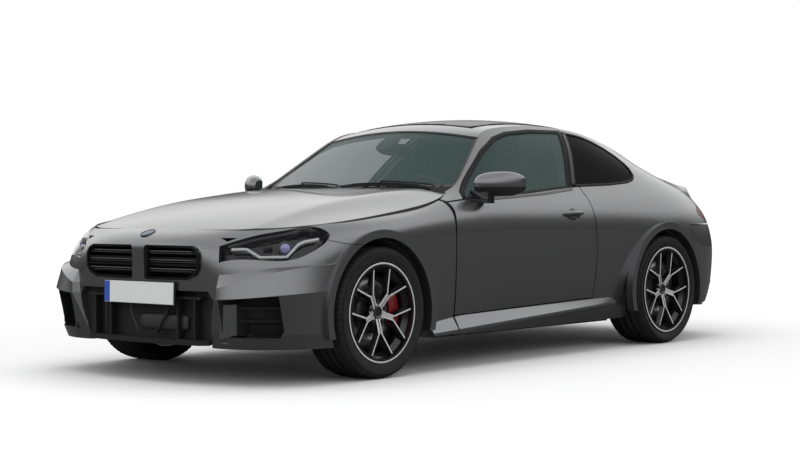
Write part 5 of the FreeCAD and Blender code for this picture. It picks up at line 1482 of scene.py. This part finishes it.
def bay_parts():
    middle = axles["front"][0]
    moulded("engine_cover", (0, middle), .225, .300, .781, .828, soft_plastic)
    for index in range(5):
        x = -.14 + .07 * index
        line = [(x, middle - .22, .8285), (x, middle, .8315), (x, middle + .22, .8285)]
        tube("engine_cover_rib_%d" % index, line, .009, .004, satin_black, slot=plastic,
             smoothing=5)
    cap_on("oil_cap", (.11, middle - .255, .826),
           [(-.01, .030), (.012, .030), (.016, .026), (.017, .012), (.017, 0)], soft_plastic)
    moulded("air_box", (.352, -1.62), .060, .130, .46, .765, soft_plastic)
    moulded("battery_box", (-.355, -1.24), .058, .120, .50, .762, soft_plastic)
    moulded("coolant_bottle", (-.352, -1.66), .055, .075, .52, .770, bottle_plastic, .8)
    moulded("brake_reservoir", (.40, -1.00), .040, .060, .766, .845, bottle_plastic, .8)
    cap_on("brake_cap", (.40, -1.00, .846),
           [(-.01, .024), (.012, .024), (.015, .020), (.016, 0)], satin_black)
    cap_on("coolant_cap", (-.352, -1.66, .771),
           [(-.01, .028), (.014, .028), (.018, .022), (.018, 0)], satin_black)
    duct = [(.35, -1.72, .755), (.33, -1.82, .775), (.20, -1.86, .785), (.08, -1.84, .770),
            (.02, -1.79, .745)]
    tube("intake_duct", duct, .034, .026, soft_plastic, slot=plastic, smoothing=8, around=16)
    hose = [(-.20, -1.80, .70), (-.24, -1.90, .72), (-.20, -1.99, .66)]
    tube("coolant_hose", hose, .019, .019, rubber, slot=plastic, smoothing=8, around=14)
    for side_name, side in sides:
        dome = [(.0, .085), (.012, .083), (.026, .070), (.030, .050), (.030, .030), (.036, .026),
                (.037, 0)]
        place = Vector((.560 * side, middle, .764))
        turned("strut_dome_" + side_name, dome, place, upward, 40, underseal, slot="floor_steel")
        for index in range(3):
            turn = 2 * math.pi * index / 3 + .4
            spot = place + Vector((.055 * math.cos(turn), .055 * math.sin(turn), .026))
            turned("strut_nut_%d_%s" % (index, side_name),
                   [(0, .009), (.010, .009), (.012, .006), (.012, 0)], spot, upward, 6, steel,
                   smooth=False)
        brace = [(.545, middle + .05, .800), (.36, -1.20, .838), (.16, -.975, .842),
                 (.10, -.915, .812)]
        tube("strut_brace_" + side_name, mirrored(brace, side), .014, .010, dark_metal,
             smoothing=6)
    rings = []
    for y, inset in ((-2.045, .006), (-2.040, 0), (-2.005, 0), (-2.000, .006)):
        x, low, high = .36 - inset, .34 + inset, .675 - inset
        rings.append([Vector(corner) for corner in (
            (-x, y, low), (x, y, low), (x, y, high), (-x, y, high))])
    add_piece("radiator", loft(rings), duct_grey, smooth=False)
    for index in range(9):
        z = .36 + .036 * index
        tube("radiator_tube_%d" % index, [(-.35, -2.047, z), (.35, -2.047, z)], .002, .004,
             dark_metal, around=4, smooth=False)
    skin_piece("hood_lining", "hood", (0, 0, -1), within(x=(-.60, .60), y=(-1.96, -.96)), .003,
               carpet, "hood", .5, .004, slot=plastic)


def luggage_parts():
    skin_piece("lid_lining", "trunk_lid", (0, 0, -1), within(x=(-.46, .46), y=(1.75, 2.10)),
               .003, carpet, "trunk_lid", .5, .004, slot=plastic)
    slab("luggage_mat", [(-.50, .96, .486), (.50, .96, .486), (.50, 2.06, .486),
                         (-.50, 2.06, .486)], .005, upward, carpet, slot=plastic, bevel=.002)
    for side_name, side in sides:
        corners = [(.512, .96, .49), (.512, 2.05, .49), (.512, 2.00, .72), (.512, .96, .755)]
        slab("luggage_side_" + side_name, mirrored(corners, side), .004, (-side, 0, 0), lining,
             slot=plastic, bevel=.002)
    slab("luggage_front", [(-.50, .950, .49), (.50, .950, .49), (.50, .950, .755),
                           (-.50, .950, .755)], .004, rearward, lining, slot=plastic, bevel=.002)


lip_spoiler()
rear_parts()
bay_parts()
luggage_parts()


# Stage: pale floor that is dark in reflections, soft studio and the camera of the photograph.

white = (1.0, 1.0, 1.0)
studio_grey = (.80, .80, .80)
# Brightness that shiny surfaces reflect, by the height of the direction they look in.
reflected = ((0, .03), (.04, .05), (.11, .12), (.20, .72), (.29, 1.02), (.46, 1.02), (.60, 1.05),
             (.8, .8))


def make_floor():
    size = (cad_high.y - cad_low.y) * 9
    mesh = bpy.data.meshes.new("floor_stage")
    mesh.from_pydata([(-size, -size, 0), (size, -size, 0), (size, size, 0), (-size, size, 0)],
                     [], [(0, 1, 2, 3)])
    floor = bpy.data.objects.new("floor_stage", mesh)
    scene.collection.objects.link(floor)
    mat = surface("stage_floor", (.90, .90, .90), .8, mottle=.01)
    shader = mat.node_tree.nodes["Principled BSDF"]
    rays = node(mat, "ShaderNodeLightPath")
    base = shader.inputs["Base Color"].links[0].from_socket
    link(mat, blend_color(mat, rays.outputs["Is Glossy Ray"], base, (.045, .045, .046)),
         shader.inputs["Base Color"])
    shader.inputs["Emission Color"].default_value = white + (1,)
    far = node(mat, "ShaderNodeVectorMath", operation="LENGTH")
    link(mat, place_socket(mat), far.inputs[0])
    glow = math_socket(mat, "MULTIPLY", rays.outputs["Is Camera Ray"],
                       math_socket(mat, "MULTIPLY", over(mat, far.outputs["Value"], 2.6, 9), .4))
    link(mat, glow, shader.inputs["Emission Strength"])
    mesh.materials.append(mat)


def make_world():
    world = bpy.data.worlds.new("studio")
    scene.world = world
    world.use_nodes = True
    ramp = node(world, "ShaderNodeValToRGB")
    link(world, axis_socket(world, 2, "Generated"), ramp.inputs[0])
    elements = ramp.color_ramp.elements
    elements[0].position, elements[1].position = reflected[0][0], reflected[-1][0]
    elements[0].color = (reflected[0][1],) * 3 + (1,)
    elements[1].color = (reflected[-1][1],) * 3 + (1,)
    for position, level in reflected[1:-1]:
        elements.new(position).color = (level,) * 3 + (1,)
    rays = node(world, "ShaderNodeLightPath")
    lit = blend_color(world, rays.outputs["Is Glossy Ray"], studio_grey, ramp.outputs[0])
    shown = blend_color(world, rays.outputs["Is Camera Ray"], lit, white)
    background = world.node_tree.nodes["Background"]
    link(world, shown, background.inputs["Color"])
    background.inputs["Strength"].default_value = 1.0


def area_light(name, location, target, size, power):
    data = bpy.data.lights.new(name, "AREA")
    data.shape = "RECTANGLE"
    data.size, data.size_y = size
    data.energy = power
    lamp = bpy.data.objects.new(name, data)
    lamp.visible_glossy = False
    lamp.location = location
    lamp.rotation_euler = (Vector(target) - Vector(location)).to_track_quat("-Z", "Y").to_euler()
    scene.collection.objects.link(lamp)


def make_camera():
    data = bpy.data.cameras.new("camera")
    data.sensor_width = camera_sensor
    data.lens = camera_lens
    data.clip_end = 200
    camera = bpy.data.objects.new("camera", data)
    turn = Matrix(camera_axes).transposed()
    camera.matrix_world = Matrix.Translation(camera_place) @ turn.to_4x4()
    scene.collection.objects.link(camera)
    scene.camera = camera


scene.view_settings.view_transform = "Standard"
make_floor()
make_world()
area_light("top_light", (0, -.5, 6.5), (0, 0, 0), (5, 7), 200)
area_light("side_light", (7.5, .5, 4.6), (0, 0, .7), (6, 1.5), 40)
area_light("front_light", (1.5, -8.5, 3.6), (0, -1, .6), (5, 1.5), 30)
make_camera()
